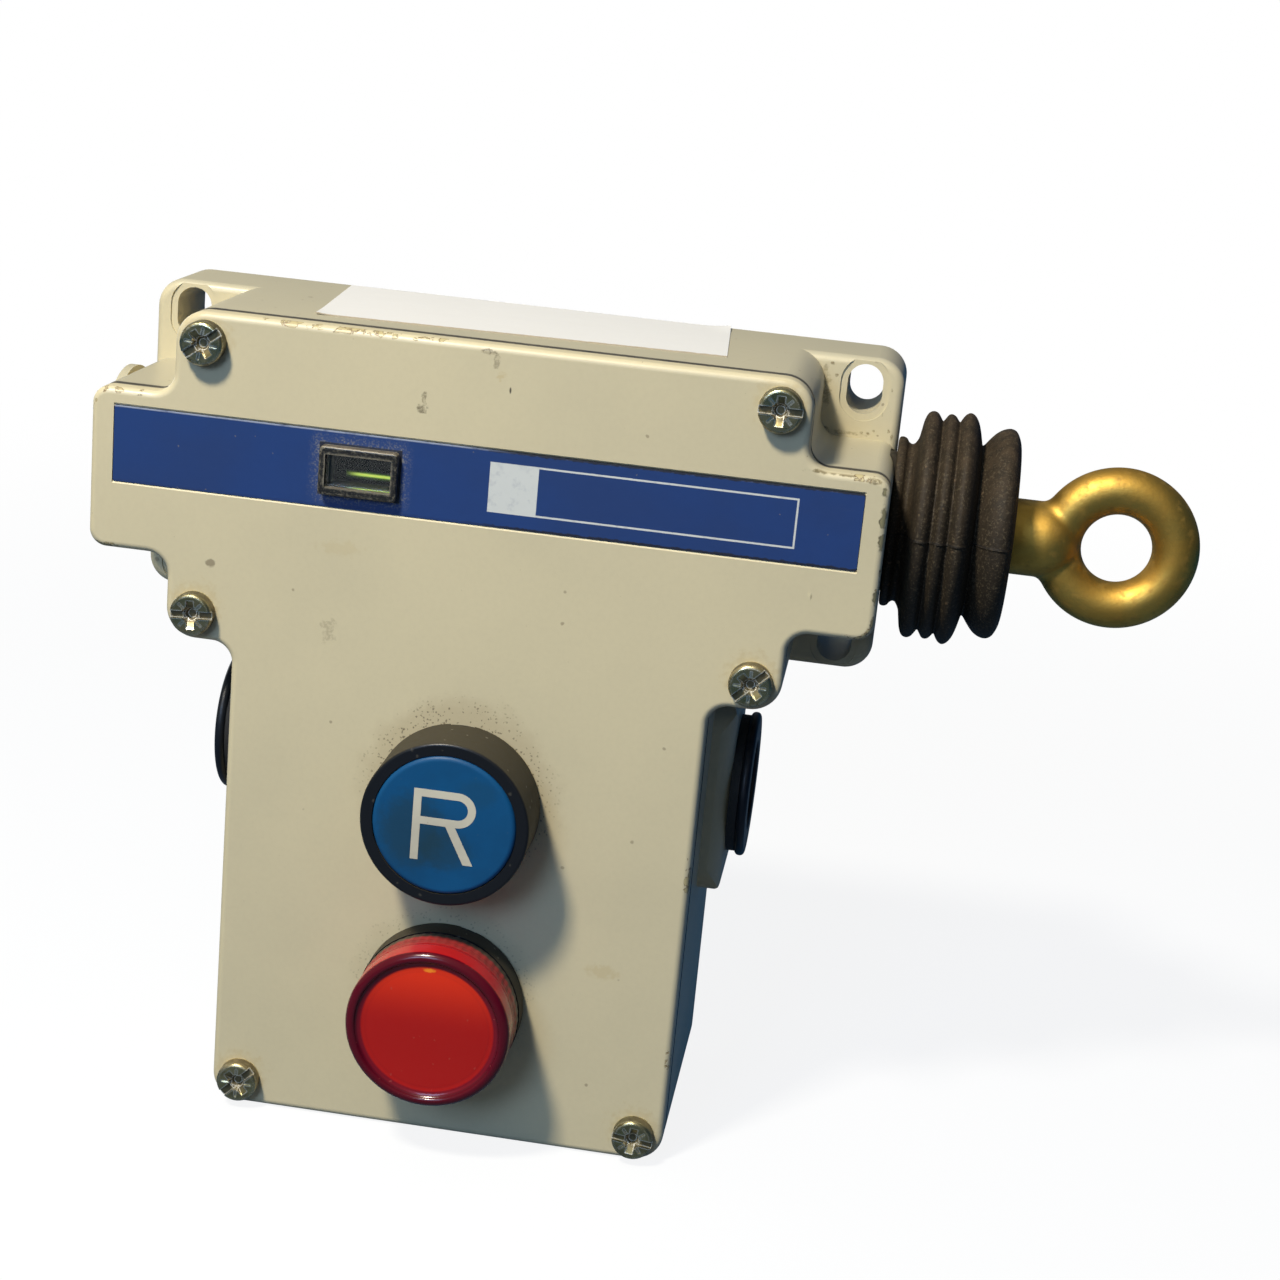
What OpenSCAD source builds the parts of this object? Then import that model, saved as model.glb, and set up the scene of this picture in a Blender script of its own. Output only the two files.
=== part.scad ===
// Rope pull switch for machine safety, with a latched trip, a reset button and a pilot light.
// Frame: X along the rope (+X towards the eye), +Z up, cover towards -Y.
// Origin: centre of the four mounting slots, on the mounting face (back).

/* [Housing] */
// Depth from mounting face to cover face
body_depth = 48; // [46:1:60]
// Width across the arms and the mounting ears
arm_w = 134.4; // [134:0.2:140]
// Height of the arms that carry the shaft
arm_h = 27.8; // [26:0.2:32]
// Width of the upper block, across its corner lobes
block_w = 106.4; // [106:0.2:108]
// Height of the upper block and of the ears
block_h = 56.4; // [56:0.2:58]
// Width of the lower body
lower_w = 82.6; // [82:0.2:86]
// Distance from the slot centre down to the lower edge
drop = 114.5; // [112:0.5:130]
// Radius of the lobes round the cover screws
lobe_r = 5.2; // [5:0.1:5.4]
// Radius at the ends of the arms
arm_r = 3; // [1:0.5:5]
// Radius of the inside corners of the outline
fillet_r = 3.6; // [2:0.2:4]
// Thickness of the die-cast walls
wall = 3.2; // [2.8:0.1:3.6]
// Thickness of the back wall
back_wall = 3.5; // [3:0.1:4]

/* [Mounting ears] */
// Thickness of the ears
ear_t = 16; // [12:1:18]
// Corner radius of the ears
ear_r = 5; // [3:0.5:8]
// Radius of the ears' front edge
ear_edge = 1.5; // [0.5:0.1:2]
// Distance from centre to a slot, along X
slot_x = 60.3; // [60:0.1:61]
// Distance from centre to a slot, along Z
slot_z = 22.6; // [22:0.1:23]
// Width of a slot
slot_w = 6.2; // [5:0.1:6.5]
// Length of a slot, end to end
slot_l = 8.8; // [7:0.1:9]

/* [Cover] */
// Thickness of the cover
cover_t = 4; // [3:0.5:5]
// Radius of the cover's front edge
cover_edge = 1.2; // [0.6:0.1:1.2]
// Thickness of the pressed gasket
gasket_t = 1; // [0.5:0.1:1.2]
// Depth of the recess that holds the strip
strip_recess = 0.6; // [0.4:0.1:1]
// Length of the blue strip
strip_l = 126.3; // [120:0.1:127]
// Height of the blue strip
strip_h = 13; // [12:0.5:14]
// Height of the strip's centre line
strip_z = 4.4; // [3:0.1:6]
// Centre of the window along X
window_x = -20.7; // [-24:0.1:-16]
// Width of the window frame
window_w = 13.4; // [12:0.1:15]
// Height of the window frame
window_h = 8.3; // [8:0.1:10]
// How far the window frame stands out of the cover
window_proud = 1.6; // [1:0.1:2.5]

/* [Shaft and eye] */
// Distance of the shaft axis from the mounting face
axis_depth = 21; // [21:0.5:23]
// Height of the shaft axis above the slot centre
axis_z = 1; // [0:0.5:2]
// Diameter of the pull shaft
shaft_d = 8; // [8:0.1:8]
// Distance of the ring's centre along X, rope slack
eye_x = 106.8; // [106:0.2:110]
// Outer diameter of the ring
eye_d = 28.3; // [26:0.1:30]
// Diameter of the ring's bar
bar_d = 8.1; // [7:0.1:9]
// Diameter of the eye's shank
shank_d = 13.2; // [12.5:0.1:14]
// Travel of the shaft from slack to fully pulled
pull_travel = 16; // [10:1:16]

/* [Bellows] */
// Radius of the bellows at its root, over the spigot
bellows_root_r = 14.8; // [14:0.1:16]
// Radius of the middle ribs
bellows_rib_r = 20.2; // [18:0.1:20.5]
// Radius of the outer rib
bellows_end_r = 18.6; // [16:0.1:20]

/* [Button and lamp] */
// Outer diameter of the bezels
bezel_d = 29; // [28:0.5:30]
// Height of the reset button's centre
button_z = -51.5; // [-54:0.5:-50]
// How far the button's bezel stands out
button_proud = 11.4; // [10:0.1:13]
// Travel of the reset button
button_travel = 4; // [3:0.5:4]
// Height of the lamp's centre
lamp_z = -88.4; // [-90:0.2:-87]
// How far the lens stands out
lamp_proud = 13.9; // [12:0.1:16]

/* [Cable entries] */
// Height of the entries' centre line
entry_z = -51.6; // [-54:0.2:-50]
// Distance of the entries' centre line from the mounting face
entry_depth = 18; // [17:0.5:20]
// Diameter of an entry's hole
entry_d = 20.4; // [16:0.1:20.4]
// Diameter of a plug's flange
plug_d = 26.4; // [24:0.1:27]

/* [Hidden] */
$fn = 64;

rim_y = -(body_depth - cover_t - gasket_t);
cover_y = -(body_depth - cover_t);
face_y = -body_depth;
arm_x = arm_w / 2;
axis_y = -axis_depth;
top_z = block_h / 2;
low_x = lower_w / 2;
screw_x = block_w / 2 - lobe_r;
screw_z = block_h / 2 - lobe_r + 0.25;
screw_low_x = low_x - lobe_r;
screw_low_z = -drop + lobe_r - 0.2;
screw_points = [[-screw_x, screw_z], [screw_x, screw_z], [-screw_x, -screw_z],
    [screw_x, -screw_z], [-screw_low_x, screw_low_z], [screw_low_x, screw_low_z]];
screw_turn = [-37, 0, -3, -44, -44, 7];
screw_d = 4;
inner_y = -back_wall;
pad_h = 5.5;
pad_points = [[-14, -50], [14, -50], [-14, 12], [14, 12]];
earth_x = -26;
earth_z = -98;
// Radial play of running fits, and of parts pushed together
run = 0.05;
snug = 0.02;
// Control units: radius of the cover holes, and the threaded barrels behind them
unit_hole_r = 11.2;
barrel_r = 11;
barrel_y = -35.6;
seal_t = 0.5;

// Colours
beige = [0.80, 0.76, 0.62];
blue = [0.13, 0.24, 0.46];
black = [0.10, 0.10, 0.11];
steel = [0.66, 0.67, 0.68];
brass = [0.76, 0.62, 0.30];
rubber = [0.20, 0.17, 0.14];

// ---------- helpers ----------

// Extrudes an outline drawn in X and Z from y0 (nearer the wall) forward by h
module slab(y0, h) {
    translate([0, y0, 0]) rotate([90, 0, 0]) linear_extrude(h) children();
}

// Bar or disc along X
module rod_x(x0, h, r, y = axis_y, z = axis_z, r2 = -1) {
    translate([x0, y, z]) rotate([0, 90, 0]) cylinder(h = h, r1 = r, r2 = r2 < 0 ? r : r2);
}

// Bar or disc along Y, from y0 forward (towards -Y) by h
module rod_y(x, z, y0, h, r, r2 = -1) {
    translate([x, y0, z]) rotate([90, 0, 0]) cylinder(h = h, r1 = r, r2 = r2 < 0 ? r : r2);
}

// Rectangle with round corners, given by its limits
module rounded(x0, x1, z0, z1, r) {
    translate([x0 + r, z0]) square([x1 - x0 - 2 * r, z1 - z0]);
    translate([x0, z0 + r]) square([x1 - x0, z1 - z0 - 2 * r]);
    for (x = [x0 + r, x1 - r], z = [z0 + r, z1 - r]) translate([x, z]) circle(r);
}

// Section of an edge cutter: what a round of radius r takes off a square corner
module edge_section(r) {
    difference() {
        translate([-0.5, -r]) square([r + 0.5, r + 0.5]);
        translate([r, -r]) circle(r);
    }
}

// Edge cutter along a straight side, from a to b with the material on the left
module edge_line(a, b, r) {
    side = b - a;
    translate([a[0], a[1], 0]) rotate([0, 0, atan2(side[1], side[0])]) rotate([90, 0, 90])
        linear_extrude(norm(side)) edge_section(r);
}

// Edge cutter round a quarter arc: way 1 on an outside corner, -1 on an inside one
module edge_arc(centre, arc_r, start, way, r) {
    translate([centre[0], centre[1], 0]) rotate([0, 0, start]) rotate_extrude(angle = 90)
        translate([arc_r, 0]) scale([-way, 1]) edge_section(r);
}

// Rectangle slab from y0 forward by h, with round corners and a rounded front edge
module soft_slab(y0, h, x0, x1, z0, z1, corner, edge) {
    difference() {
        slab(y0, h) rounded(x0, x1, z0, z1, corner);
        translate([0, y0 - h, 0]) rotate([90, 0, 0]) {
            edge_line([x0 + corner, z0], [x1 - corner, z0], edge);
            edge_line([x1, z0 + corner], [x1, z1 - corner], edge);
            edge_line([x1 - corner, z1], [x0 + corner, z1], edge);
            edge_line([x0, z1 - corner], [x0, z0 + corner], edge);
            edge_arc([x0 + corner, z0 + corner], corner, 180, 1, edge);
            edge_arc([x1 - corner, z0 + corner], corner, 270, 1, edge);
            edge_arc([x1 - corner, z1 - corner], corner, 0, 1, edge);
            edge_arc([x0 + corner, z1 - corner], corner, 90, 1, edge);
        }
    }
}

// Inside corner at a point, opening towards the signs sx, sz
module corner_web(x, z, sx, sz, r) {
    translate([x, z]) scale([sx, sz]) difference() {
        translate([-1, -1]) square([r + 1, r + 1]);
        translate([r, r]) circle(r);
    }
}

// The T outline shared by housing, gasket and cover, drawn smaller by inset all round
module t_outline(inset = 0) {
    rounded(-arm_x + inset, arm_x - inset, -arm_h / 2 + inset, arm_h / 2 - inset,
        max(arm_r - inset, 0.5));
    rounded(-block_w / 2 + inset, block_w / 2 - inset, -block_h / 2 + inset,
        block_h / 2 - inset, max(lobe_r - inset, 0.5));
    rounded(-low_x + inset, low_x - inset, -drop + inset, -block_h / 2 + 10,
        max(lobe_r - inset, 0.5));
    for (s = [-1, 1]) {
        for (t = [-1, 1])
            corner_web(s * (block_w / 2 - inset), t * (arm_h / 2 - inset), s, t,
                fillet_r + inset);
        corner_web(s * (low_x - inset), -block_h / 2 + inset, s, -1, fillet_r + inset);
    }
}

// Edge cutter all round the front of the T outline, with the front at y0
module t_edge(y0, r) {
    half_w = block_w / 2;
    half_h = block_h / 2;
    half_arm = arm_h / 2;
    translate([0, y0, 0]) rotate([90, 0, 0]) {
        edge_line([half_w - lobe_r, half_h], [-half_w + lobe_r, half_h], r);
        edge_line([-low_x + lobe_r, -drop], [low_x - lobe_r, -drop], r);
        for (s = [0, 1]) mirror([s, 0, 0]) {
            edge_line([low_x, -drop + lobe_r], [low_x, -half_h - fillet_r], r);
            edge_line([low_x + fillet_r, -half_h], [half_w - lobe_r, -half_h], r);
            edge_line([half_w, -half_h + lobe_r], [half_w, -half_arm - fillet_r], r);
            edge_line([half_w + fillet_r, -half_arm], [arm_x - arm_r, -half_arm], r);
            edge_line([arm_x, -half_arm + arm_r], [arm_x, half_arm - arm_r], r);
            edge_line([arm_x - arm_r, half_arm], [half_w + fillet_r, half_arm], r);
            edge_line([half_w, half_arm + fillet_r], [half_w, half_h - lobe_r], r);
            edge_arc([low_x - lobe_r, -drop + lobe_r], lobe_r, 270, 1, r);
            edge_arc([low_x + fillet_r, -half_h - fillet_r], fillet_r, 90, -1, r);
            edge_arc([half_w - lobe_r, -half_h + lobe_r], lobe_r, 270, 1, r);
            edge_arc([half_w + fillet_r, -half_arm - fillet_r], fillet_r, 90, -1, r);
            edge_arc([arm_x - arm_r, -half_arm + arm_r], arm_r, 270, 1, r);
            edge_arc([arm_x - arm_r, half_arm - arm_r], arm_r, 0, 1, r);
            edge_arc([half_w + fillet_r, half_arm + fillet_r], fillet_r, 180, -1, r);
            edge_arc([half_w - lobe_r, half_h - lobe_r], lobe_r, 0, 1, r);
        }
    }
}

// Slot outline, long in Z
module slot_outline(x, z, w, l) {
    translate([x - w / 2, z - (l - w) / 2]) square([w, l - w]);
    for (s = [-1, 1]) translate([x, z + s * (l - w) / 2]) circle(w / 2);
}

// Round spring along Z: centre-line radius r, wire radius w, from z = 0 to length
module coil(r, w, length, turns, steps = 18, sides = 6) {
    rings = turns * steps;
    rise = (length - 2 * w) / rings;
    function ring_point(i, k) = let (a = 360 * i / steps, b = 360 * k / sides)
        [(r + w * cos(b)) * cos(a), (r + w * cos(b)) * sin(a), w + i * rise + w * sin(b)];
    points = [for (i = [0:rings], k = [0:sides - 1]) ring_point(i, k)];
    side_faces = [for (i = [0:rings - 1], k = [0:sides - 1])
        [i * sides + k, (i + 1) * sides + k, (i + 1) * sides + (k + 1) % sides,
            i * sides + (k + 1) % sides]];
    end_faces = [[for (k = [0:sides - 1]) k],
        [for (k = [sides - 1:-1:0]) rings * sides + k]];
    polyhedron(points, concat(side_faces, end_faces), convexity = 10);
}

// Screw with a cheese head, a slot and a cross recess, head towards -Y, seat at y = 0
module machine_screw(d, head_d, head_h, length) {
    soft = 0.25 * head_h;
    slot_depth = 0.3 * head_h;
    recess_y = -0.35 * head_h;
    recess_r = 0.34 * head_d;
    arm_w = 0.18 * head_d;
    arm_slope = atan((head_h + recess_y) / recess_r);
    tick_l = 0.74 * head_d;
    tick_w = 0.045 * head_d;
    difference() {
        union() {
            rod_y(0, 0, length, length, d / 2);
            rotate([90, 0, 0]) rotate_extrude() {
                square([head_d / 2, head_h - soft]);
                square([head_d / 2 - soft, head_h]);
                translate([head_d / 2 - soft, head_h - soft]) circle(soft);
            }
        }
        translate([-head_d, slot_depth - 2 * head_h, -arm_w / 2])
            cube([2 * head_d, head_h, arm_w]);
        for (a = [0:90:270]) rotate([0, a, 0]) translate([0, recess_y, 0])
            rotate([0, 0, -arm_slope]) translate([0, -head_d, -arm_w / 2])
                cube([head_d, head_d, arm_w]);
        for (a = [45, 135]) rotate([0, a, 0])
            translate([-tick_l / 2, 0.1 * head_h - 2 * head_h, -tick_w / 2])
                cube([tick_l, head_h, tick_w]);
        rod_y(0, 0, recess_y, head_h + recess_y + 0.1, 0.1 * head_d, 0.22 * head_d);
    }
}

// ---------- housing and cover ----------

strip_bevel = 0.4;
land_w = 2.4;
land_depth = 0.3;
boss_x = low_x + 4.1;
boss_half_y = 12.5;
boss_half_z = 18;
boss_soft = 2.6;

module entry_boss(s) {
    // block with soft outer corners, carries the cable entry
    length = boss_x - low_x + wall;
    scale([s, 1, 1]) translate([low_x - wall, 0, 0]) intersection() {
        rotate([90, 0, 90]) linear_extrude(length)
            rounded(-entry_depth - boss_half_y, -entry_depth + boss_half_y,
                entry_z - boss_half_z, entry_z + boss_half_z, 5);
        slab(0, 60) rounded(-6, length, entry_z - boss_half_z, entry_z + boss_half_z,
            boss_soft);
        translate([0, 0, entry_z - boss_half_z]) linear_extrude(2 * boss_half_z)
            rounded(-6, length, -entry_depth - boss_half_y, -entry_depth + boss_half_y,
                boss_soft);
    }
}

module housing() {
    color(beige) difference() {
        union() {
            slab(0, -rim_y) t_outline();
            soft_slab(0, ear_t, -arm_x, arm_x, -block_h / 2, block_h / 2, ear_r, ear_edge);
            for (s = [-1, 1]) entry_boss(s);
            rod_x(arm_x - 1, 3.2, 12.2);
        }
        difference() {
            slab(inner_y, 60) t_outline(wall);
            for (p = screw_points) rod_y(p[0], p[1], 0, 60, 4.3);
            for (p = pad_points) rod_y(p[0], p[1], 0, pad_h, 4);
            rod_y(earth_x, earth_z, 0, 12, 4.5);
        }
        for (p = screw_points) rod_y(p[0], p[1], rim_y + 13, 20, screw_d / 2 + 0.01);
        for (p = pad_points) rod_y(p[0], p[1], -1.5, 20, 1.51);
        rod_y(earth_x, earth_z, -4, 20, 2.01);
        for (x = [-slot_x, slot_x], z = [-slot_z, slot_z]) {
            slab(1, ear_t + 2) slot_outline(x, z, slot_w, slot_l);
            slab(-ear_t + land_depth, 3) slot_outline(x, z, slot_w + land_w, slot_l + land_w);
        }
        rod_x(arm_x - 8, 20, 9.02);
        rod_x(-arm_x - 2, 12, 9.02);
        for (s = [-1, 1]) rod_x(s > 0 ? low_x - 10 : -low_x - 10, 20, entry_d / 2, -entry_depth,
            entry_z);
    }
}

module cover() {
    color(beige) difference() {
        slab(cover_y, cover_t) t_outline();
        t_edge(face_y, cover_edge);
        slab(face_y + strip_recess, 5) rounded(-strip_l / 2 - 0.1, strip_l / 2 + 0.1,
            strip_z - strip_h / 2 - 0.1, strip_z + strip_h / 2 + 0.1, 0.4);
        for (s = [-1, 1]) translate([0, face_y, strip_z + s * (strip_h / 2 + 0.1)])
            rotate([45, 0, 0]) cube([strip_l + 0.2, strip_bevel, strip_bevel], true);
        for (p = screw_points) rod_y(p[0], p[1], 0, 60, 2.2);
        slab(0, 60) translate([window_x, strip_z]) square([window_w - 0.9, window_h - 1], true);
        for (z = [button_z, lamp_z]) rod_y(0, z, 0, 60, unit_hole_r);
    }
}

module cover_gasket() {
    color(rubber) slab(rim_y, gasket_t) difference() {
        t_outline(0.12);
        t_outline(2.6);
    }
}

module cover_screws() {
    color(steel) for (i = [0:5])
        translate([screw_points[i][0], face_y, screw_points[i][1]])
            rotate([0, screw_turn[i], 0])
                machine_screw(screw_d, 7.4, 2.6, cover_t + gasket_t + 10);
}

module label_strip() {
    color(blue) slab(face_y + strip_recess, strip_recess - 0.1) difference() {
        rounded(-strip_l / 2, strip_l / 2, strip_z - strip_h / 2, strip_z + strip_h / 2, 0.3);
        translate([window_x, strip_z]) square([window_w - 0.8, window_h - 0.9], true);
    }
}

module window_frame() {
    color(black) difference() {
        union() {
            translate([window_x, 0, strip_z]) soft_slab(face_y + 0.1, window_proud + 0.1,
                -window_w / 2, window_w / 2, -window_h / 2, window_h / 2, 0.8, 0.4);
            slab(cover_y + 1, cover_t + 1.3) translate([window_x, strip_z])
                square([window_w - 1.1, window_h - 1.2], true);
        }
        slab(0, 60) translate([window_x, strip_z]) square([window_w - 2.2, window_h - 2.7], true);
    }
}

module window() {
    color([0.8, 0.85, 0.85, 0.4]) slab(face_y + 1, 1.4) translate([window_x, strip_z])
        square([window_w - 2.24, window_h - 2.74], true);
}

module end_cap() {
    color(beige) {
        rod_x(-arm_x - 1.7, 1.7 + 7, 9);
        rod_x(-arm_x - 3.2, 1.5, 11.7);
    }
}

module cable_plugs() {
    color(black) for (s = [-1, 1]) scale([s, 1, 1]) difference() {
        union() {
            rod_x(boss_x + 1.6, 1.8, plug_d / 2, -entry_depth, entry_z);
            rod_x(low_x - 6, boss_x - low_x + 7.6, entry_d / 2 - snug, -entry_depth, entry_z);
        }
        rod_x(boss_x + 2.4, 5, plug_d / 2 - 5, -entry_depth, entry_z);
        rod_x(low_x - 7, 9, entry_d / 2 - 2.2, -entry_depth, entry_z);
    }
}

module plug_seals() {
    color(rubber) for (s = [-1, 1]) scale([s, 1, 1]) difference() {
        rod_x(boss_x, 1.6, plug_d / 2 - 0.7, -entry_depth, entry_z);
        rod_x(boss_x - 1, 4, entry_d / 2, -entry_depth, entry_z);
    }
}

// ---------- shaft guides and frame ----------

boss_end = arm_x + 2.2;
lug_x0 = -23;
lug_x1 = -20;
plate_t = 2;
plate_y = -pad_h - plate_t;
pivot_y = -15;
pivot_z = -36;
pivot_r = 1.5;

module outer_bush() {
    color(brass) difference() {
        union() {
            rod_x(arm_x - 7, boss_end - arm_x + 7, 9);
            rod_x(boss_end, 1.6, 10.5);
        }
        rod_x(arm_x - 20, 40, shaft_d / 2 + run);
    }
}

module mechanism_frame() {
    color(steel) difference() {
        union() {
            translate([-24, plate_y, -56]) cube([48, plate_t, 72]);
            translate([lug_x0, -30, -8]) cube([lug_x1 - lug_x0, 30 + plate_y, 18]);
            for (s = [-1, 1]) translate([8 * s - 1, -19, pivot_z - 4]) cube([2, 19 + plate_y, 8]);
        }
        rod_x(lug_x0 - 5, 10, 6);
        for (p = pad_points) rod_y(p[0], p[1], 0, 20, 1.7);
        rod_x(-20, 40, pivot_r, pivot_y, pivot_z);
    }
}

module frame_screws() {
    color(steel) for (p = pad_points)
        translate([p[0], plate_y, p[1]]) rotate([0, 30, 0]) machine_screw(3, 5.6, 2, 5.8);
}

module inner_bush() {
    color(brass) difference() {
        union() {
            rod_x(lug_x0, lug_x1 - lug_x0, 6);
            rod_x(lug_x0 - 2, 2, 8.4);
        }
        rod_x(lug_x0 - 10, 30, shaft_d / 2 + run);
    }
}

// ---------- shaft body ----------

ramp_slope = 0.125;
ramp_r = 6;
ramp_x0 = -18;
ramp_x1 = 4;
washer_x = -50;
nut_h = 3.5;
ring_r = (eye_d - bar_d) / 2;
ring_x = eye_x;
collar_x = 82;
groove_x0 = 85.2;
groove_x1 = 88.7;
groove_r = 5.6;

module pull_shaft() {
    color(steel) {
        rod_x(washer_x - 9, ring_x - washer_x - 4, shaft_d / 2);
        rod_x(washer_x - 9.6, 0.6, shaft_d / 2 - 0.6, r2 = shaft_d / 2);
    }
}

module eye() {
    color(brass) difference() {
        union() {
            translate([ring_x, axis_y, axis_z]) rotate([90, 0, 0]) rotate_extrude()
                translate([ring_r, 0]) circle(bar_d / 2);
            rod_x(collar_x, groove_x0 - collar_x, 8);
            rod_x(groove_x0 - 1, groove_x1 - groove_x0 + 2, groove_r);
            rod_x(groove_x1, ring_x - 12.7 - groove_x1, shank_d / 2);
            translate([ring_x - 12.7, axis_y, axis_z]) sphere(shank_d / 2);
        }
        rod_x(collar_x - 1, ring_x - 13 - collar_x + 1.5, shaft_d / 2 + snug);
    }
}

module cam_sleeve() {
    color(steel) difference() {
        union() {
            rod_x(ramp_x0, ramp_x1 - ramp_x0, ramp_r - ramp_slope * ramp_x0,
                r2 = ramp_r - ramp_slope * ramp_x1);
            rod_x(ramp_x1, 20, ramp_r - ramp_slope * ramp_x1);
        }
        rod_x(ramp_x0 - 1, 60, shaft_d / 2 + snug);
        rod_y(18, axis_z, axis_y, 10, 1.6);
    }
}

module spring_washer() {
    color(steel) difference() {
        rod_x(washer_x - 1.5, 1.5, 9);
        rod_x(washer_x - 5, 10, shaft_d / 2 + snug);
    }
}

module tension_nuts() {
    color(steel) for (i = [0, 1]) difference() {
        translate([washer_x - 1.5 - (i + 1) * nut_h + snug, axis_y, axis_z])
            rotate([17 * i, 0, 0]) rotate([0, 90, 0]) cylinder(h = nut_h - 2 * snug, d = 15, $fn = 6);
        rod_x(washer_x - 20, 30, shaft_d / 2 + snug);
    }
}

flag_y = -42.2;

module indicator_flag() {
    color(black) difference() {
        union() {
            rod_x(ramp_x0 - 1.2, 1.2, 6.4);
            translate([ramp_x0 - 1.2, flag_y, axis_z - 3]) cube([1.2, -flag_y + axis_y, 6]);
            translate([-37, flag_y, 0.4]) cube([29, 1, 8.6]);
        }
        rod_x(ramp_x0 - 5, 20, shaft_d / 2 + snug);
    }
}

module indicator_marks() {
    color([0.35, 0.75, 0.15]) {
        translate([-24.2, flag_y - 0.4, 2.2]) cube([15.6, 0.4, 1.3]);
        translate([-36.4, flag_y - 0.4, 1]) cube([10, 0.4, 7.4]);
    }
}

module main_spring() {
    color(steel) translate([washer_x + 0.05, axis_y, axis_z]) rotate([0, 90, 0])
        coil(6.4, 0.7, lug_x0 - 2 - washer_x - 0.1, 6.5);
}

// Crests of the bellows: place along X, outer radius, radius of the crest's round
bellows_crests = [[arm_x + 0.95, bellows_root_r, 0.85], [72.75, bellows_rib_r, 1.6],
    [75.85, bellows_rib_r - 0.1, 1.45], [79, bellows_rib_r + 0.4, 1.75],
    [86.3, bellows_end_r, 2.1]];
bellows_x0 = arm_x + 0.05;
bellows_x1 = 88.6;
skin_t = 1.3;
// Corners of the drum under the three close ribs, and of the outer rib's flanks
drum = [[81.9, 13.4], [81.9, 14.7], [79.6, 18.9], [72.2, 18.9], [71.3, 18], [70, 13.4]];
flare = [[88.6, 12], [88.6, 14], [88.2, 17], [85.3, 18.3], [81.5, 15.3], [81.5, 12.5]];
flare_hollow = [[86.4, 12], [86.8, 16.2], [85.5, 16.4], [83.4, 14.6], [83.4, 12]];

// Half section of the bellows' skin, x along the shaft and y as radius
module bellows_section() {
    core = 13.7;
    difference() {
        union() {
            translate([bellows_x0, 10]) square([82.6 - bellows_x0, core - 10]);
            translate([82, 9]) square([bellows_x1 - 82, 6]);
            translate([bellows_x1 - 2.2, groove_r + 0.1]) square([2.2, 8]);
            polygon(drum);
            polygon(flare);
            for (c = bellows_crests) translate([c[0], c[1] - c[2]]) circle(c[2]);
        }
        translate([bellows_x0 - 1, 0]) square([boss_end - bellows_x0 + 1, 12.25]);
        translate([boss_end - 0.1, 0]) square([bellows_x1 - 2.2 - boss_end + 0.1, 12.2]);
        translate([72.4, 12]) square([7, 18.9 - skin_t - 12]);
        polygon(flare_hollow);
    }
}

module bellows() {
    color(rubber) translate([0, axis_y, axis_z]) rotate([0, 90, 0]) rotate_extrude()
        mirror([1, -1]) bellows_section();
}

// ---------- contacts ----------

follower_r = 2.5;
follower_z = axis_z - ramp_r - 0.3 - follower_r;
slider_z = -15;
slider_t = 2;
plunger_x = 16;
plunger_r = 2;
block_z1 = -20;
block_z0 = -46;
block_y0 = -35;
block_half = 6.5;
block_screws = [block_z1 - 4, block_z0 + 4];
bridge_z = -30;
bridge_t = 1.2;
rivet_h = 0.8;
rivet_y = 8;
rivet_r = 1.5;
strip_t = 0.8;
fixed_z = -36;
fixed_y = 6.4;
fixed_l = 6.8;
chamber_z = -39;
tail_y = -13.5;

module contact_slider() {
    // cross bar pushed down by the ramp, with a tail that the latch hooks into
    color(black) difference() {
        union() {
            translate([-plunger_x - 3, -26, slider_z])
                cube([2 * plunger_x + 6, 26 + tail_y + 1.5, slider_t]);
            translate([-follower_r, axis_y - 3, slider_z]) cube([2 * follower_r, 6,
                follower_z - slider_z]);
            translate([0, axis_y + 3, follower_z]) rotate([90, 0, 0]) cylinder(h = 6,
                r = follower_r);
            translate([-5.5, tail_y, slider_z - 14]) cube([11, 1.5, 15]);
        }
        translate([-3.2, tail_y - 1, slider_z - 12]) cube([6.4, 4, 10]);
    }
}

module contact_plungers() {
    color([0.85, 0.83, 0.75]) for (x = [-plunger_x, plunger_x])
        translate([x, axis_y, bridge_z]) cylinder(h = slider_z - bridge_z, r = plunger_r);
}

module contact_bridges() {
    color(brass) for (x = [-plunger_x, plunger_x]) {
        translate([x - 3, axis_y - 10, bridge_z - bridge_t]) cube([6, 20, bridge_t]);
        for (y = [-rivet_y, rivet_y]) translate([x, axis_y + y, bridge_z - bridge_t - rivet_h])
            cylinder(h = rivet_h, r = rivet_r);
    }
}

// One contact block: closed case, plunger bore on top, chamber for the bridge
module contact_block(x) {
    color([0.16, 0.16, 0.17]) difference() {
        translate([x - block_half, block_y0, block_z0])
            cube([2 * block_half, plate_y - block_y0, block_z1 - block_z0]);
        translate([x, axis_y, bridge_z]) cylinder(h = 20, r = plunger_r + run);
        translate([x - 4, axis_y - 11.5, chamber_z]) cube([8, 23, 11]);
        for (z = block_screws) rod_y(x, z, block_y0 + 7, 20, 1.76);
        // slots for the fixed contacts
        for (s = [-1, 1]) translate([x, axis_y, fixed_z]) scale([1, s, 1])
            translate([-3 - snug, fixed_y - snug, -snug])
                cube([6 + 2 * snug, fixed_l + 2 * snug, strip_t + 2 * snug]);
        // notches at the sides, as moulded grip for the snap
        for (s = [-1, 1]) translate([x + s * block_half - 0.6, -32, block_z1 - 1.5])
            cube([1.2, 12, 2]);
    }
}

module contact_block_left() {
    contact_block(-plunger_x);
}

module contact_block_right() {
    contact_block(plunger_x);
}

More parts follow.
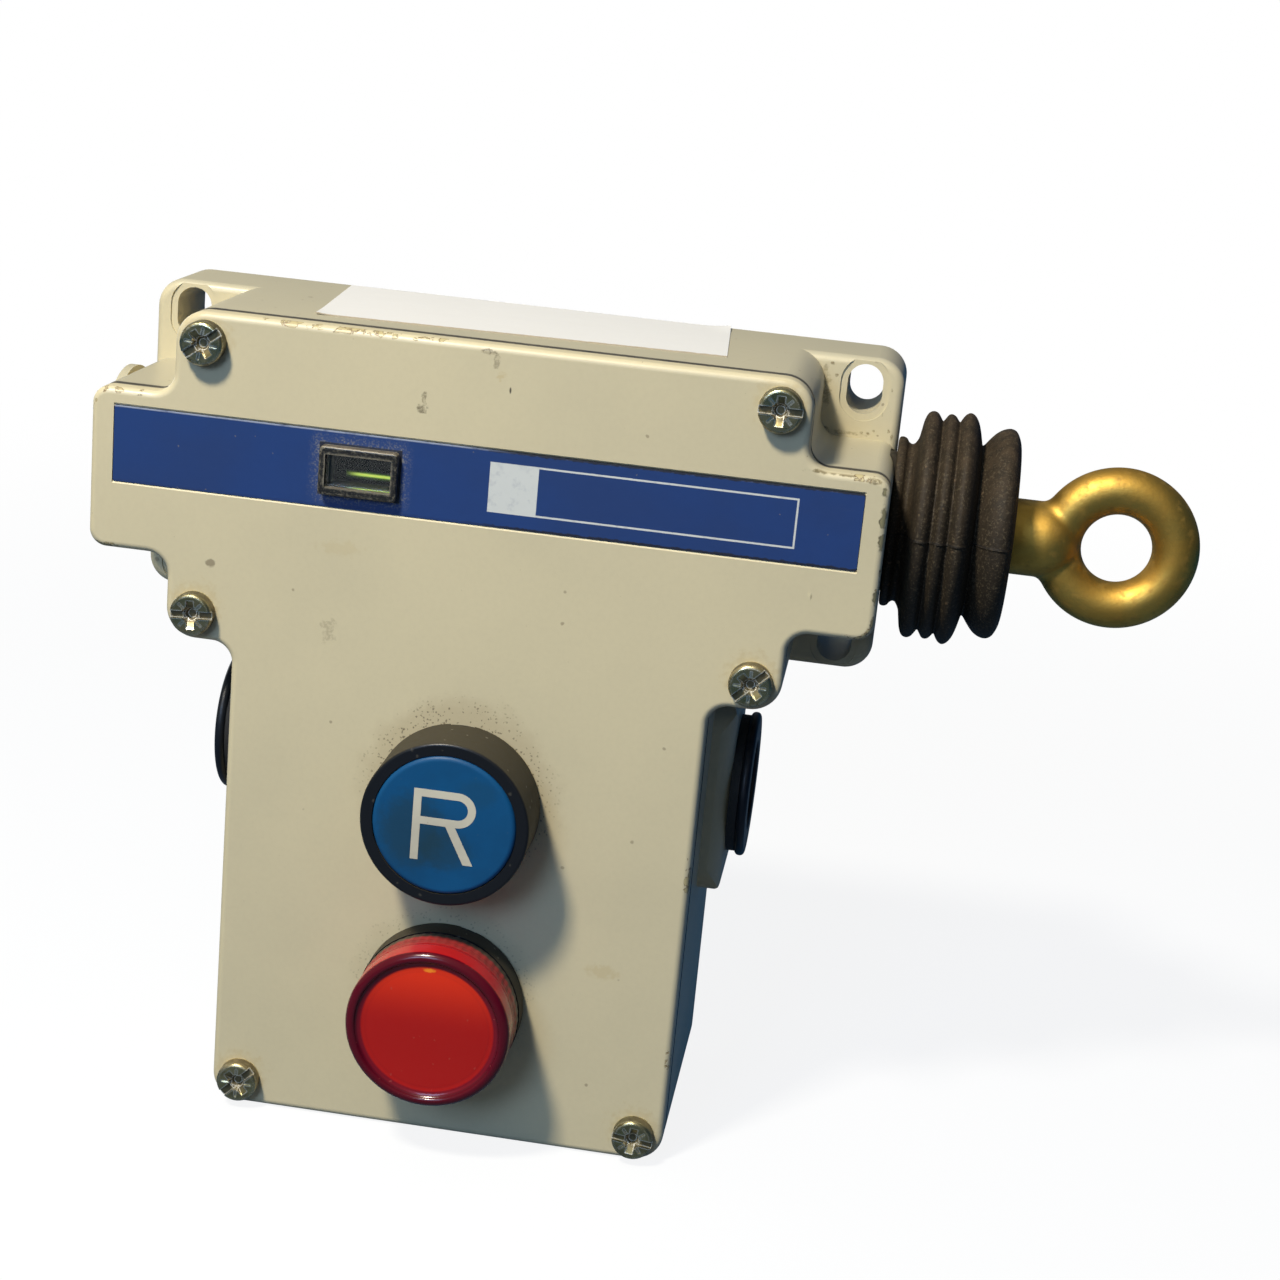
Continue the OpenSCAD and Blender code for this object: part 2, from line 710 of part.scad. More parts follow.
module fixed_contacts() {
    color(brass) for (x = [-plunger_x, plunger_x], s = [-1, 1]) {
        translate([x, axis_y, fixed_z]) scale([1, s, 1]) {
            translate([-3, fixed_y, 0]) cube([6, fixed_l, strip_t]);
            translate([0, rivet_y, strip_t]) cylinder(h = rivet_h, r = rivet_r);
        }
    }
}

module terminal_screws() {
    color(steel) for (x = [-plunger_x, plunger_x], z = block_screws)
        translate([x, block_y0, z]) rotate([0, 25, 0]) machine_screw(3.5, 6, 1.8, 6.5);
}

module contact_springs() {
    color(steel) for (x = [-plunger_x, plunger_x]) translate([x, axis_y, chamber_z])
        coil(2, 0.35, bridge_z - bridge_t - chamber_z, 5, 14, 5);
}

// ---------- latch ----------

pad_z = button_z;
pad_r = 2;
pad_y = -17;

module latch_lever() {
    // swings on its pin: the reset stem pushes the low end, the tooth at the top lets go
    color(steel) difference() {
        union() {
            translate([-2.5, -16.5, -53.5]) cube([5, 2.6, 53.5 - 19.5]);
            rod_x(-6, 12, 4, pivot_y, pivot_z);
            rod_x(-2.5, 5, pad_r, pad_y, pad_z);
            translate([-2.5, -14, -22]) cube([5, 2.5, 2]);
        }
        rod_x(-10, 20, pivot_r + run, pivot_y, pivot_z);
    }
}

module latch_pin() {
    color(steel) rod_x(-9.2, 18.4, pivot_r, pivot_y, pivot_z);
}

module latch_spring() {
    color(steel) translate([0, plate_y - 0.05, pad_z]) rotate([90, 0, 0])
        coil(2.2, 0.3, 13.8 + plate_y, 4, 14, 5);
}

module earth_screw() {
    color(steel) {
        translate([earth_x, -13.2, earth_z]) rotate([0, 20, 0]) machine_screw(4, 8, 2.6, 9);
        difference() {
            rod_y(earth_x, earth_z, -12, 1.2, 4.4);
            rod_y(earth_x, earth_z, -10, 8, 2.01);
        }
    }
}

// ---------- reset button ----------

cap_r = 12.35;
cap_face = face_y - button_proud - 0.3;
cap_t = 3.6;
cap_edge = 0.9;
bezel_edge = 0.5;
stem_r = 5;
stem_y = -33;
tip_r = 1.5;
tip_end = pad_y - pad_r - 0.3;
spring_y = -38;

// Shallow notch in the foot of a bezel, turned by an angle from the top
module foot_notch(z, angle, width) {
    translate([0, face_y - 1.2, z]) rotate([0, -angle, 0])
        translate([-width / 2, 0, bezel_d / 2 - 0.5]) cube([width, 1.2, 2]);
}

module reset_bezel() {
    color(black) difference() {
        union() {
            translate([0, face_y - seal_t, button_z]) rotate([90, 0, 0]) rotate_extrude() {
                square([bezel_d / 2, button_proud - seal_t - bezel_edge]);
                square([bezel_d / 2 - bezel_edge, button_proud - seal_t]);
                translate([bezel_d / 2 - bezel_edge, button_proud - seal_t - bezel_edge])
                    circle(bezel_edge);
            }
            rod_y(0, button_z, barrel_y, barrel_y - face_y + 1, barrel_r);
        }
        foot_notch(button_z, 0, 4.2);
        rod_y(0, button_z, face_y - 2.5, 20, cap_r + run);
        rod_y(0, button_z, spring_y, 20, 9);
        rod_y(0, button_z, -30, 40, stem_r + run);
    }
}

module reset_seal() {
    color(rubber) difference() {
        rod_y(0, button_z, face_y, seal_t, bezel_d / 2 - 0.3);
        rod_y(0, button_z, 0, 60, unit_hole_r);
    }
}

module lock_nut(z) {
    color(black) difference() {
        rod_y(0, z, -40, 4, 15);
        rod_y(0, z, 0, 60, barrel_r + snug);
        for (a = [0:30:359]) translate([0, 0, z]) rotate([0, a, 0])
            translate([14.2, -50, -1]) cube([3, 20, 2]);
    }
}

module reset_lock_nut() {
    lock_nut(button_z);
}

module reset_cap() {
    color([0.10, 0.36, 0.60]) translate([0, cap_face + cap_t, button_z]) rotate([90, 0, 0])
        rotate_extrude() {
            square([cap_r, cap_t - cap_edge]);
            square([cap_r - cap_edge, cap_t]);
            translate([cap_r - cap_edge, cap_t - cap_edge]) circle(cap_edge);
        }
}

module reset_stem() {
    color([0.85, 0.83, 0.75]) {
        rod_y(0, button_z, stem_y, stem_y - cap_face - cap_t, stem_r);
        rod_y(0, button_z, tip_end - 1, tip_end - 1 - stem_y, tip_r);
        rod_y(0, button_z, tip_end, 1, 1, tip_r);
    }
}

module reset_spring() {
    color(steel) translate([0, spring_y - 0.05, button_z]) rotate([90, 0, 0])
        coil(7, 0.4, spring_y - cap_face - cap_t - 0.1, 6, 18, 5);
}

// ---------- pilot lamp ----------

lens_foot = 4.5;
holder_y = -34;

module lamp_bezel() {
    color(black) difference() {
        union() {
            rod_y(0, lamp_z, face_y - seal_t, lens_foot - seal_t, bezel_d / 2);
            rod_y(0, lamp_z, holder_y, holder_y - face_y + 1, barrel_r);
        }
        foot_notch(lamp_z, -15, 2.7);
        rod_y(0, lamp_z, 0, 80, 8.5);
    }
}

module lamp_seal() {
    color(rubber) difference() {
        rod_y(0, lamp_z, face_y, seal_t, bezel_d / 2 - 0.3);
        rod_y(0, lamp_z, 0, 60, unit_hole_r);
    }
}

module lamp_lock_nut() {
    lock_nut(lamp_z);
}

module lamp_lens() {
    // hollow lens with a rounded rim and fine ribs round the inside of its wall
    lens_r = bezel_d / 2 - 0.05;
    height = lamp_proud - lens_foot;
    color([0.80, 0.10, 0.08, 0.8]) translate([0, face_y - lens_foot, lamp_z]) rotate([90, 0, 0])
        rotate_extrude() difference() {
            union() {
                square([lens_r, height - 1.6]);
                square([lens_r - 1.6, height]);
                translate([lens_r - 1.6, height - 1.6]) circle(1.6);
            }
            square([lens_r - 1.8, height - 2]);
            translate([0, height - 0.5]) square([lens_r - 2.2, 2]);
        }
}

module lamp_holder() {
    color([0.16, 0.16, 0.17]) {
        difference() {
            rod_y(0, lamp_z, holder_y, 14, 8.4);
            rod_y(0, lamp_z, -40, 20, 4.75);
        }
        difference() {
            translate([-12, holder_y, lamp_z - 14]) cube([24, 20, 28]);
            for (x = [-7, 7]) rod_y(x, lamp_z - 10.5, -28, 20, 1.6);
        }
    }
}

module lamp_bulb() {
    // glass bulb on its metal cap
    color([0.9, 0.9, 0.85, 0.6]) {
        rod_y(0, lamp_z, -40.5, 8, 4.7);
        rod_y(0, lamp_z, -48.4, 4.5, 4.2);
        translate([0, -52.9, lamp_z]) sphere(4.2);
    }
}

housing();
cover();
cover_gasket();
cover_screws();
label_strip();
window_frame();
window();
end_cap();
cable_plugs();
plug_seals();
outer_bush();
mechanism_frame();
frame_screws();
inner_bush();
contact_block_left();
contact_block_right();
fixed_contacts();
terminal_screws();
contact_springs();
main_spring();
latch_pin();
latch_spring();
earth_screw();
reset_bezel();
reset_seal();
reset_lock_nut();
reset_spring();
lamp_bezel();
lamp_seal();
lamp_lock_nut();
lamp_holder();
lamp_bulb();
lamp_lens();
bellows();
pull_shaft();
eye();
cam_sleeve();
spring_washer();
tension_nuts();
indicator_flag();
indicator_marks();
contact_slider();
contact_plungers();
contact_bridges();
latch_lever();
reset_cap();
reset_stem();
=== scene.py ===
"""Looks of a rope pull switch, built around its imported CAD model.

Lengths are in metres, in the frame of the CAD model: +X along the rope towards the
eye, the cover towards -Y, +Z up, with the origin on the mounting face.
"""

import logging
import math
from dataclasses import dataclass
from enum import Enum
from typing import Iterable, Optional, Sequence, Union

import bmesh
import bpy
import numpy as np
from mathutils import Matrix, Vector


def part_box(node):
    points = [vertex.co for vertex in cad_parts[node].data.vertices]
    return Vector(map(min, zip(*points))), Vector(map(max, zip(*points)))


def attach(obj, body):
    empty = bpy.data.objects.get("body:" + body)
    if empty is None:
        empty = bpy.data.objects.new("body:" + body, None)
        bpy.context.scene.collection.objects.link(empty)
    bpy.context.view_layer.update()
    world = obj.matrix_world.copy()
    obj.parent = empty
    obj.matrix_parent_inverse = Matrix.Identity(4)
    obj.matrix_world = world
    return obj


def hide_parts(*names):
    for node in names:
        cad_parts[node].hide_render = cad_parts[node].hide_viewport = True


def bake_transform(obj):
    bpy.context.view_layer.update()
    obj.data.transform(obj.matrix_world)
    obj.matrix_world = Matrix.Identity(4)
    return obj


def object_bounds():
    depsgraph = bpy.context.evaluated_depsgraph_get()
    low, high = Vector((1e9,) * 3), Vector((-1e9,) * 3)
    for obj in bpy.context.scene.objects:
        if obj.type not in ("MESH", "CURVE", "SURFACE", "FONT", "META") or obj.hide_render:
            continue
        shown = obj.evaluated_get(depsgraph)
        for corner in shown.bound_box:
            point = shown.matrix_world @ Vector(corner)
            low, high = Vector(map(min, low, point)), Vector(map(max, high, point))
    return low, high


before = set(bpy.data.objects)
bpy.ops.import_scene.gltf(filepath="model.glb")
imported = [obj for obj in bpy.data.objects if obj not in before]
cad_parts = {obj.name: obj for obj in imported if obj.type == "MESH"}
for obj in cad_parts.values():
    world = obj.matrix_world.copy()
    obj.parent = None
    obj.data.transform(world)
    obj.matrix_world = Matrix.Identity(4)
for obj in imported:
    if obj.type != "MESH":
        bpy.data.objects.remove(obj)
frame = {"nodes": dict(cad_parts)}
cad_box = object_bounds()

LOG = logging.getLogger("pull_switch")
MM = 0.001
# Radius of a ring of points that stands for one point on the axis.
POLE = 1e-7
# Place of the rope's axis in (y, z), and the tilt of the boot's parting plane round it.
BOOT_AXIS = (-21 * MM, 1 * MM)
BOOT_SEAM_TILT = 0.065

Colour = tuple[float, float, float]
Point = tuple[float, float, float]
WHITE: Colour = (1, 1, 1)
BLACK: Colour = (0.0, 0.0, 0.0)
Socket = bpy.types.NodeSocket
Value = Union[float, Socket]


# ---------------------------------------------------------------- surfaces


def faces_of_grid(rows: int, columns: int, closed_rows: bool, closed_columns: bool) -> np.ndarray:
    """Quads of a grid of points numbered row by row.

    Args:
        rows: Number of rows.
        columns: Number of points in a row.
        closed_rows: Whether the last row joins the first.
        closed_columns: Whether the last point of a row joins its first.

    Returns:
        An array of four indices per face.
    """
    i = np.arange(rows if closed_rows else rows - 1)
    j = np.arange(columns if closed_columns else columns - 1)
    i, j = (a.ravel() for a in np.meshgrid(i, j, indexing="ij"))
    k, l = (i + 1) % rows, (j + 1) % columns
    return np.stack([i * columns + j, i * columns + l, k * columns + l, k * columns + j], axis=1)


def piece_from_grid(
    name: str, points: np.ndarray, closed_rows: bool = False, closed_columns: bool = False
) -> bpy.types.Object:
    """A mesh piece from a grid of points, with its normals turned outwards.

    Args:
        name: Name of the piece.
        points: Array of rows, columns and three coordinates.
        closed_rows: Whether the last row joins the first.
        closed_columns: Whether the last point of a row joins its first.

    Returns:
        The new object, linked to the scene.
    """
    rows, columns = points.shape[:2]
    faces = faces_of_grid(rows, columns, closed_rows, closed_columns)
    return piece_from_faces(name, points.reshape(-1, 3), faces)


def piece_from_faces(name: str, points: np.ndarray, faces: np.ndarray) -> bpy.types.Object:
    """A smooth mesh piece from points and faces; doubles are merged and normals recalculated.

    Args:
        name: Name of the piece.
        points: Array of points.
        faces: Array of quads or triangles.

    Returns:
        The new object, linked to the scene.
    """
    mesh = bpy.data.meshes.new(name)
    mesh.from_pydata(points.tolist(), [], faces.tolist())
    settle(mesh)
    piece = bpy.data.objects.new(name, mesh)
    bpy.context.scene.collection.objects.link(piece)
    return piece


def settle(mesh: bpy.types.Mesh, merge: float = 1e-6) -> None:
    """Merges doubled points, drops faces without area, points faces outwards and shades smooth.

    Args:
        mesh: The mesh to clean.
        merge: Distance under which points become one.
    """
    work = bmesh.new()
    work.from_mesh(mesh)
    bmesh.ops.remove_doubles(work, verts=work.verts, dist=merge)
    bmesh.ops.dissolve_degenerate(work, edges=work.edges, dist=merge / 10)
    bmesh.ops.recalc_face_normals(work, faces=work.faces)
    work.to_mesh(mesh)
    work.free()
    mesh.shade_smooth()


def turned(profile: np.ndarray, centre: Sequence[float], axis: str,
           steps: Union[int, np.ndarray]) -> np.ndarray:
    """Surface of revolution: each profile point is carried round an axis.

    A point at place a along the axis and radius r becomes centre + a * axis + r * (cos t, sin t)
    in the two other directions.

    Args:
        profile: Array of (place along the axis, radius).
        centre: Point on the axis from which places are measured.
        axis: "x" or "y".
        steps: Number of points round the axis, or their angles.

    Returns:
        Array of profile points by steps by three coordinates.
    """
    t = np.linspace(0, 2 * math.pi, steps, endpoint=False) if isinstance(steps, int) else steps
    along, radius = profile[:, :1], profile[:, 1:]
    u, v = radius * np.cos(t), radius * np.sin(t)
    a = along + np.zeros_like(u)
    order = {"x": (a, u, v), "y": (u, a, v)}[axis]
    return np.stack(order, axis=-1) + np.asarray(centre)


def smooth_line(points: np.ndarray, samples: int) -> np.ndarray:
    """Even samples on the centripetal curve through points (Catmull-Rom, from piece to piece).

    Args:
        points: Array of points to pass through.
        samples: Number of samples wanted.

    Returns:
        Array of samples points.
    """
    ends = np.vstack([2 * points[0] - points[1], points, 2 * points[-1] - points[-2]])
    t = np.linspace(0, 1, 24, endpoint=False)[:, None]
    a, b, c, d = ends[:-3, None], ends[1:-2, None], ends[2:-1, None], ends[3:, None]
    curve = 0.5 * (2 * b + (c - a) * t + (2 * a - 5 * b + 4 * c - d) * t**2
                   + (3 * b - a - 3 * c + d) * t**3)
    dense = np.vstack([curve.reshape(-1, points.shape[1]), points[-1:]])
    return resampled(dense, samples)


def resampled(line: np.ndarray, samples: int) -> np.ndarray:
    """The same line with samples points at equal distances along it."""
    steps = np.linalg.norm(np.diff(line, axis=0), axis=1)
    place = np.concatenate([[0], np.cumsum(steps)])
    wanted = np.linspace(0, place[-1], samples)
    return np.stack([np.interp(wanted, place, column) for column in line.T], axis=1)


def arc(centre: Sequence[float], radius: float, start: float, end: float, steps: int) -> np.ndarray:
    """Points on a circle in the profile plane, from angle start to end in degrees."""
    t = np.radians(np.linspace(start, end, steps))
    return np.stack([centre[0] + radius * np.cos(t), centre[1] + radius * np.sin(t)], axis=1)


def flat_outline(name: str, loops: Iterable[np.ndarray], y: float, thickness: float) -> bpy.types.Object:
    """Thin plate facing -Y, filled between closed loops of (x, z) points.

    Args:
        name: Name of the piece.
        loops: Outlines; a loop inside another is a hole.
        y: Place of the back of the plate.
        thickness: Thickness of the plate, which rises towards -Y.

    Returns:
        The new mesh object.
    """
    curve = bpy.data.curves.new(name, "CURVE")
    curve.dimensions = "2D"
    curve.fill_mode = "BOTH"
    curve.extrude = thickness / 2
    for loop in loops:
        spline = curve.splines.new("POLY")
        spline.points.add(len(loop) - 1)
        spline.points.foreach_set("co", np.hstack([loop, np.zeros((len(loop), 2))]).ravel())
        spline.use_cyclic_u = True
    sketch = bpy.data.objects.new(name + "_sketch", curve)
    bpy.context.scene.collection.objects.link(sketch)
    bpy.context.view_layer.update()
    mesh = bpy.data.meshes.new_from_object(sketch)
    mesh.name = name
    bpy.data.objects.remove(sketch)
    mesh.transform(Matrix.Translation((0, y - thickness / 2, 0)) @ Matrix.Rotation(math.pi / 2, 4, "X"))
    settle(mesh)
    mesh.shade_flat()
    mesh.materials.clear()
    piece = bpy.data.objects.new(name, mesh)
    bpy.context.scene.collection.objects.link(piece)
    return piece


def flat_at_edges(piece: bpy.types.Object, degrees: float = 32) -> None:
    """Keeps edges sharper than an angle crisp on a smooth piece."""
    piece.data.set_sharp_from_angle(angle=math.radians(degrees))


# ---------------------------------------------------------------- shader graphs


class Graph:
    """A node tree that is being drawn, with short calls for the nodes that finishes use."""

    def __init__(self, tree: bpy.types.NodeTree) -> None:
        """Starts from an empty tree."""
        self.tree = tree
        tree.nodes.clear()

    def add(self, kind: str, **settings: object) -> bpy.types.Node:
        """A new node of a kind, with its properties set."""
        node = self.tree.nodes.new(kind)
        for name, value in settings.items():
            setattr(node, name, value)
        return node

    def feed(self, socket: Socket, value: object) -> None:
        """Links a socket to another, or sets it to a constant."""
        if isinstance(value, bpy.types.NodeSocket):
            self.tree.links.new(value, socket)
        else:
            socket.default_value = value

    def math(self, operation: str, a: Value, b: Value = 0.0, clamp: bool = False) -> Socket:
        """Result of a math node."""
        node = self.add("ShaderNodeMath", operation=operation, use_clamp=clamp)
        self.feed(node.inputs[0], a)
        self.feed(node.inputs[1], b)
        return node.outputs[0]

    def plus(self, a: Value, b: Value, clamp: bool = False) -> Socket:
        """Sum of two values."""
        return self.math("ADD", a, b, clamp)

    def minus(self, a: Value, b: Value, clamp: bool = False) -> Socket:
        """The first value less the second."""
        return self.math("SUBTRACT", a, b, clamp)

    def size(self, value: Value) -> Socket:
        """The value without its sign."""
        return self.math("ABSOLUTE", value)

    def larger(self, a: Value, b: Value, clamp: bool = False) -> Socket:
        """The larger of two values."""
        return self.math("MAXIMUM", a, b, clamp)

    def length(self, a: Value, b: Value) -> Socket:
        """Long side of a right triangle with two given sides."""
        return self.math("SQRT", self.plus(self.product(a, a), self.product(b, b)))

    def product(self, *values: Value) -> Socket:
        """Product of several values."""
        result = values[0]
        for value in values[1:]:
            result = self.math("MULTIPLY", result, value)
        return result

    def rise(self, value: Value, low: Value, high: Value) -> Socket:
        """0 below low, 1 above high and a smooth step between; low may be the larger one."""
        node = self.add("ShaderNodeMapRange", interpolation_type="SMOOTHSTEP")
        for place, item in zip(range(3), (value, low, high)):
            self.feed(node.inputs[place], item)
        return node.outputs[0]

    def mix(self, share: Value, first: object, second: object) -> Socket:
        """Colour between first and second."""
        node = self.add("ShaderNodeMix", data_type="RGBA")
        self.feed(node.inputs[0], share)
        self.feed(node.inputs[6], rgba(first))
        self.feed(node.inputs[7], rgba(second))
        return node.outputs[2]

    def level(self, share: Value, first: float, second: float) -> Socket:
        """Number between first and second, such as a roughness."""
        node = self.add("ShaderNodeMapRange")
        self.feed(node.inputs[0], share)
        node.inputs[3].default_value = first
        node.inputs[4].default_value = second
        return node.outputs[0]

    def place(self) -> Socket:
        """Coordinates on the piece, in metres."""
        return self.add("ShaderNodeTexCoord").outputs["Object"]

    def axes(self, vector: Optional[Socket] = None) -> tuple[Socket, Socket, Socket]:
        """The three components of a vector, or of the place on the piece."""
        node = self.add("ShaderNodeSeparateXYZ")
        self.feed(node.inputs[0], vector or self.place())
        return node.outputs[0], node.outputs[1], node.outputs[2]

    def normal(self) -> tuple[Socket, Socket, Socket]:
        """The three components of the surface's normal."""
        return self.axes(self.add("ShaderNodeNewGeometry").outputs["Normal"])

    def noise(self, scale: Value, detail: float = 3, rough: float = 0.55,
              vector: Optional[Socket] = None) -> Socket:
        """Cloudy noise from 0 to 1, with scale cells to the metre."""
        node = self.add("ShaderNodeTexNoise")
        self.feed(node.inputs["Vector"], vector or self.place())
        self.feed(node.inputs["Scale"], scale)
        node.inputs["Detail"].default_value = detail
        node.inputs["Roughness"].default_value = rough
        return node.outputs[0]

    def use(self, group: "Group", **inputs: object) -> Socket:
        """Mask of a shared effect that is placed in this tree with its own values."""
        node = self.add("ShaderNodeGroup", node_tree=effects.get(group))
        for name, value in inputs.items():
            self.feed(node.inputs[name], value)
        return node.outputs[0]

    def bump(self, height: Socket, distance: float) -> Socket:
        """Normal from a height that is given as a share of distance."""
        node = self.add("ShaderNodeBump")
        node.inputs["Strength"].default_value = 1.0
        node.inputs["Distance"].default_value = distance
        self.feed(node.inputs["Height"], height)
        return node.outputs[0]


def rgba(colour: object) -> object:
    """A colour with full opacity, or the socket that was given."""
    return colour if isinstance(colour, bpy.types.NodeSocket) else (*colour, 1.0)


def scaled(colour: Colour, share: float) -> Colour:
    """The colour times a share, at most 1 in each channel."""
    return tuple(min(1.0, share * channel) for channel in colour)


class Group(Enum):
    """The shader effects that several finishes share."""

    CLOUDS = "clouds"
    EDGE_DUST_AND_SHEEN = "edge_dust_and_sheen"
    CHIPPED_EDGE = "chipped_edge"
    SPECKS = "specks"
    HALO = "halo"
    SPOT = "spot"
    DUST = "dust"
    SCRATCHES = "scratches"


class Effects:
    """Builds each shared group once and hands it out."""

    def __init__(self) -> None:
        """Starts with nothing built."""
        self.built: dict[Group, bpy.types.NodeTree] = {}

    def get(self, group: Group) -> bpy.types.NodeTree:
        """The node tree of a shared effect."""
        if group not in self.built:
            self.built[group] = getattr(self, group.value)()
        return self.built[group]

    @staticmethod
    def shell(name: str, inputs: dict[str, float]) -> tuple[Graph, bpy.types.NodeOutputs]:
        """A new group with number inputs and one Mask output.

        Args:
            name: Name of the group.
            inputs: Default value of each input.

        Returns:
            The graph of the group and the sockets that carry its inputs.
        """
        tree = bpy.data.node_groups.new(name, "ShaderNodeTree")
        for label, value in inputs.items():
            socket = tree.interface.new_socket(label, in_out="INPUT", socket_type="NodeSocketFloat")
            socket.default_value = value
        tree.interface.new_socket("Mask", in_out="OUTPUT", socket_type="NodeSocketFloat")
        graph = Graph(tree)
        return graph, graph.add("NodeGroupInput").outputs

    @staticmethod
    def close(graph: Graph, mask: Socket) -> bpy.types.NodeTree:
        """Feeds the group's output and returns its tree."""
        graph.feed(graph.add("NodeGroupOutput").inputs[0], mask)
        return graph.tree

    def clouds(self) -> bpy.types.NodeTree:
        """Soft patches: cloudy noise between two levels."""
        g, given = self.shell("clouds", {"Scale": 60, "Low": 0.4, "High": 0.6})
        return self.close(g, g.rise(g.noise(given["Scale"], 4), given["Low"], given["High"]))

    def edge_dust_and_sheen(self) -> bpy.types.NodeTree:
        """Edges of the piece where the bevelled normal leaves the face's own, broken by noise; used for dust
        on edges and for painted highlights on them.
        """
        g, given = self.shell("edge_dust_and_sheen", {"Width": 0.0006, "Scale": 300, "Amount": 0.5})
        bevel = g.add("ShaderNodeBevel", samples=4)
        g.feed(bevel.inputs["Radius"], given["Width"])
        own = g.add("ShaderNodeNewGeometry").outputs["True Normal"]
        match = g.add("ShaderNodeVectorMath", operation="DOT_PRODUCT")
        g.feed(match.inputs[0], bevel.outputs[0])
        g.feed(match.inputs[1], own)
        edge = g.minus(1.0, match.outputs["Value"], clamp=True)
        broken = g.plus(edge, g.minus(g.noise(given["Scale"], 5, 0.6), 0.62))
        limit = g.minus(0.5, given["Amount"])
        return self.close(g, g.product(g.rise(broken, limit, g.plus(limit, 0.06)),
                                       g.rise(edge, 0.004, 0.02)))

    def specks(self) -> bpy.types.NodeTree:
        """Small round spots: points of a cell pattern, kept where a random share allows."""
        g, given = self.shell("specks", {"Scale": 500, "Size": 0.2, "Share": 0.2})
        cells = g.add("ShaderNodeTexVoronoi")
        warp = g.add("ShaderNodeTexNoise")
        g.feed(warp.inputs["Vector"], g.place())
        g.feed(warp.inputs["Scale"], g.product(given["Scale"], 2.3))
        shift = g.add("ShaderNodeVectorMath", operation="MULTIPLY_ADD")
        g.feed(shift.inputs[0], warp.outputs["Color"])
        shift.inputs[1].default_value = (0.0006, 0.0006, 0.0006)
        g.feed(shift.inputs[2], g.place())
        g.feed(cells.inputs["Vector"], shift.outputs[0])
        g.feed(cells.inputs["Scale"], given["Scale"])
        chosen = g.add("ShaderNodeSeparateColor")
        g.feed(chosen.inputs[0], cells.outputs["Color"])
        size = g.product(given["Size"], chosen.outputs[1])
        spot = g.rise(cells.outputs["Distance"], size, g.product(size, 0.55))
        return self.close(g, g.product(spot, g.math("LESS_THAN", chosen.outputs[0], given["Share"])))

    def halo(self) -> bpy.types.NodeTree:
        """Ring round an axis along Y: full at the inner radius and gone at the outer one."""
        g, given = self.shell("halo", {"X": 0, "Z": 0, "Inner": 0.01, "Outer": 0.02})
        x, _, z = g.axes()
        far = g.length(g.minus(x, given["X"]), g.minus(z, given["Z"]))
        far = g.plus(far, g.product(g.minus(g.noise(260, 3), 0.5), 0.006))
        return self.close(g, g.rise(far, given["Outer"], given["Inner"]))

    def spot(self) -> bpy.types.NodeTree:
        """Ragged oval mark on a face that looks to -Y: full in its middle and gone at its rim."""
        g, given = self.shell("spot", {"X": 0, "Z": 0, "Width": 0.002, "Height": 0.002, "Ragged": 1.6})
        x, _, z = g.axes()
        across = g.math("DIVIDE", g.minus(x, given["X"]), given["Width"])
        up = g.math("DIVIDE", g.minus(z, given["Z"]), given["Height"])
        far = g.length(across, up)
        ragged = g.product(g.minus(g.noise(900, 4, 0.6), 0.5), given["Ragged"])
        return self.close(g, g.rise(g.plus(far, ragged), 1.0, 0.45))

    def chipped_edge(self) -> bpy.types.NodeTree:
        """Chips on the round edge of a front face: noise above a level where the face turns away."""
        g, given = self.shell("chipped_edge", {"Scale": 420, "Level": 0.7})
        facing = g.size(g.normal()[1])
        zone = g.product(g.rise(facing, 0.998, 0.96), g.rise(facing, 0.02, 0.2))
        above = g.rise(g.noise(given["Scale"], 4, 0.6), given["Level"], g.plus(given["Level"], 0.025))
        return self.close(g, g.product(zone, above))

    def dust(self) -> bpy.types.NodeTree:
        """Dust on faces that look up: share of the upward normal, broken by noise."""
        g, given = self.shell("dust", {"Amount": 0.5, "Scale": 200})
        lying = g.rise(g.normal()[2], -0.25, 0.9)
        grain = g.rise(g.noise(given["Scale"], 5, 0.7), 0.3, 0.72)
        return self.close(g, g.math("MULTIPLY", g.product(lying, grain), given["Amount"], clamp=True))

    def scratches(self) -> bpy.types.NodeTree:
        """Fine lines: ridges of a long, narrow noise, kept in patches."""
        g, given = self.shell("scratches", {"Scale": 60, "Amount": 0.5})
        lines = []
        for turn in (0.5, 2.2):
            node = g.add("ShaderNodeMapping")
            g.feed(node.inputs["Vector"], g.place())
            node.inputs["Rotation"].default_value = (0, turn, 0.2)
            node.inputs["Scale"].default_value = (1, 1, 14)
            ridge = g.size(g.minus(g.noise(given["Scale"], 2, 0.5, node.outputs[0]), 0.5))
            lines.append(g.rise(ridge, 0.006, 0.0))
        both = g.larger(*lines)
        patch = g.rise(g.noise(45, 2), 0.52, 0.66)
        return self.close(g, g.product(both, patch, given["Amount"]))


effects = Effects()


@dataclass(frozen=True)
class Mark:
    """A spot of wear or dirt: its middle, half width and height, strength, colour and raggedness."""

    x: float
    z: float
    wide: float
    high: float
    share: float
    colour: Colour
    ragged: float = 1.6

    @property
    def broken(self) -> bool:
        """Whether it is ragged enough to be broken into grains."""
        return self.ragged > 2.3


@dataclass(frozen=True)
class Chip:
    """A stretch of edge whose paint is chipped, and how far the metal is bare there."""

    x: float
    z: float
    wide: float
    high: float
    bare: float


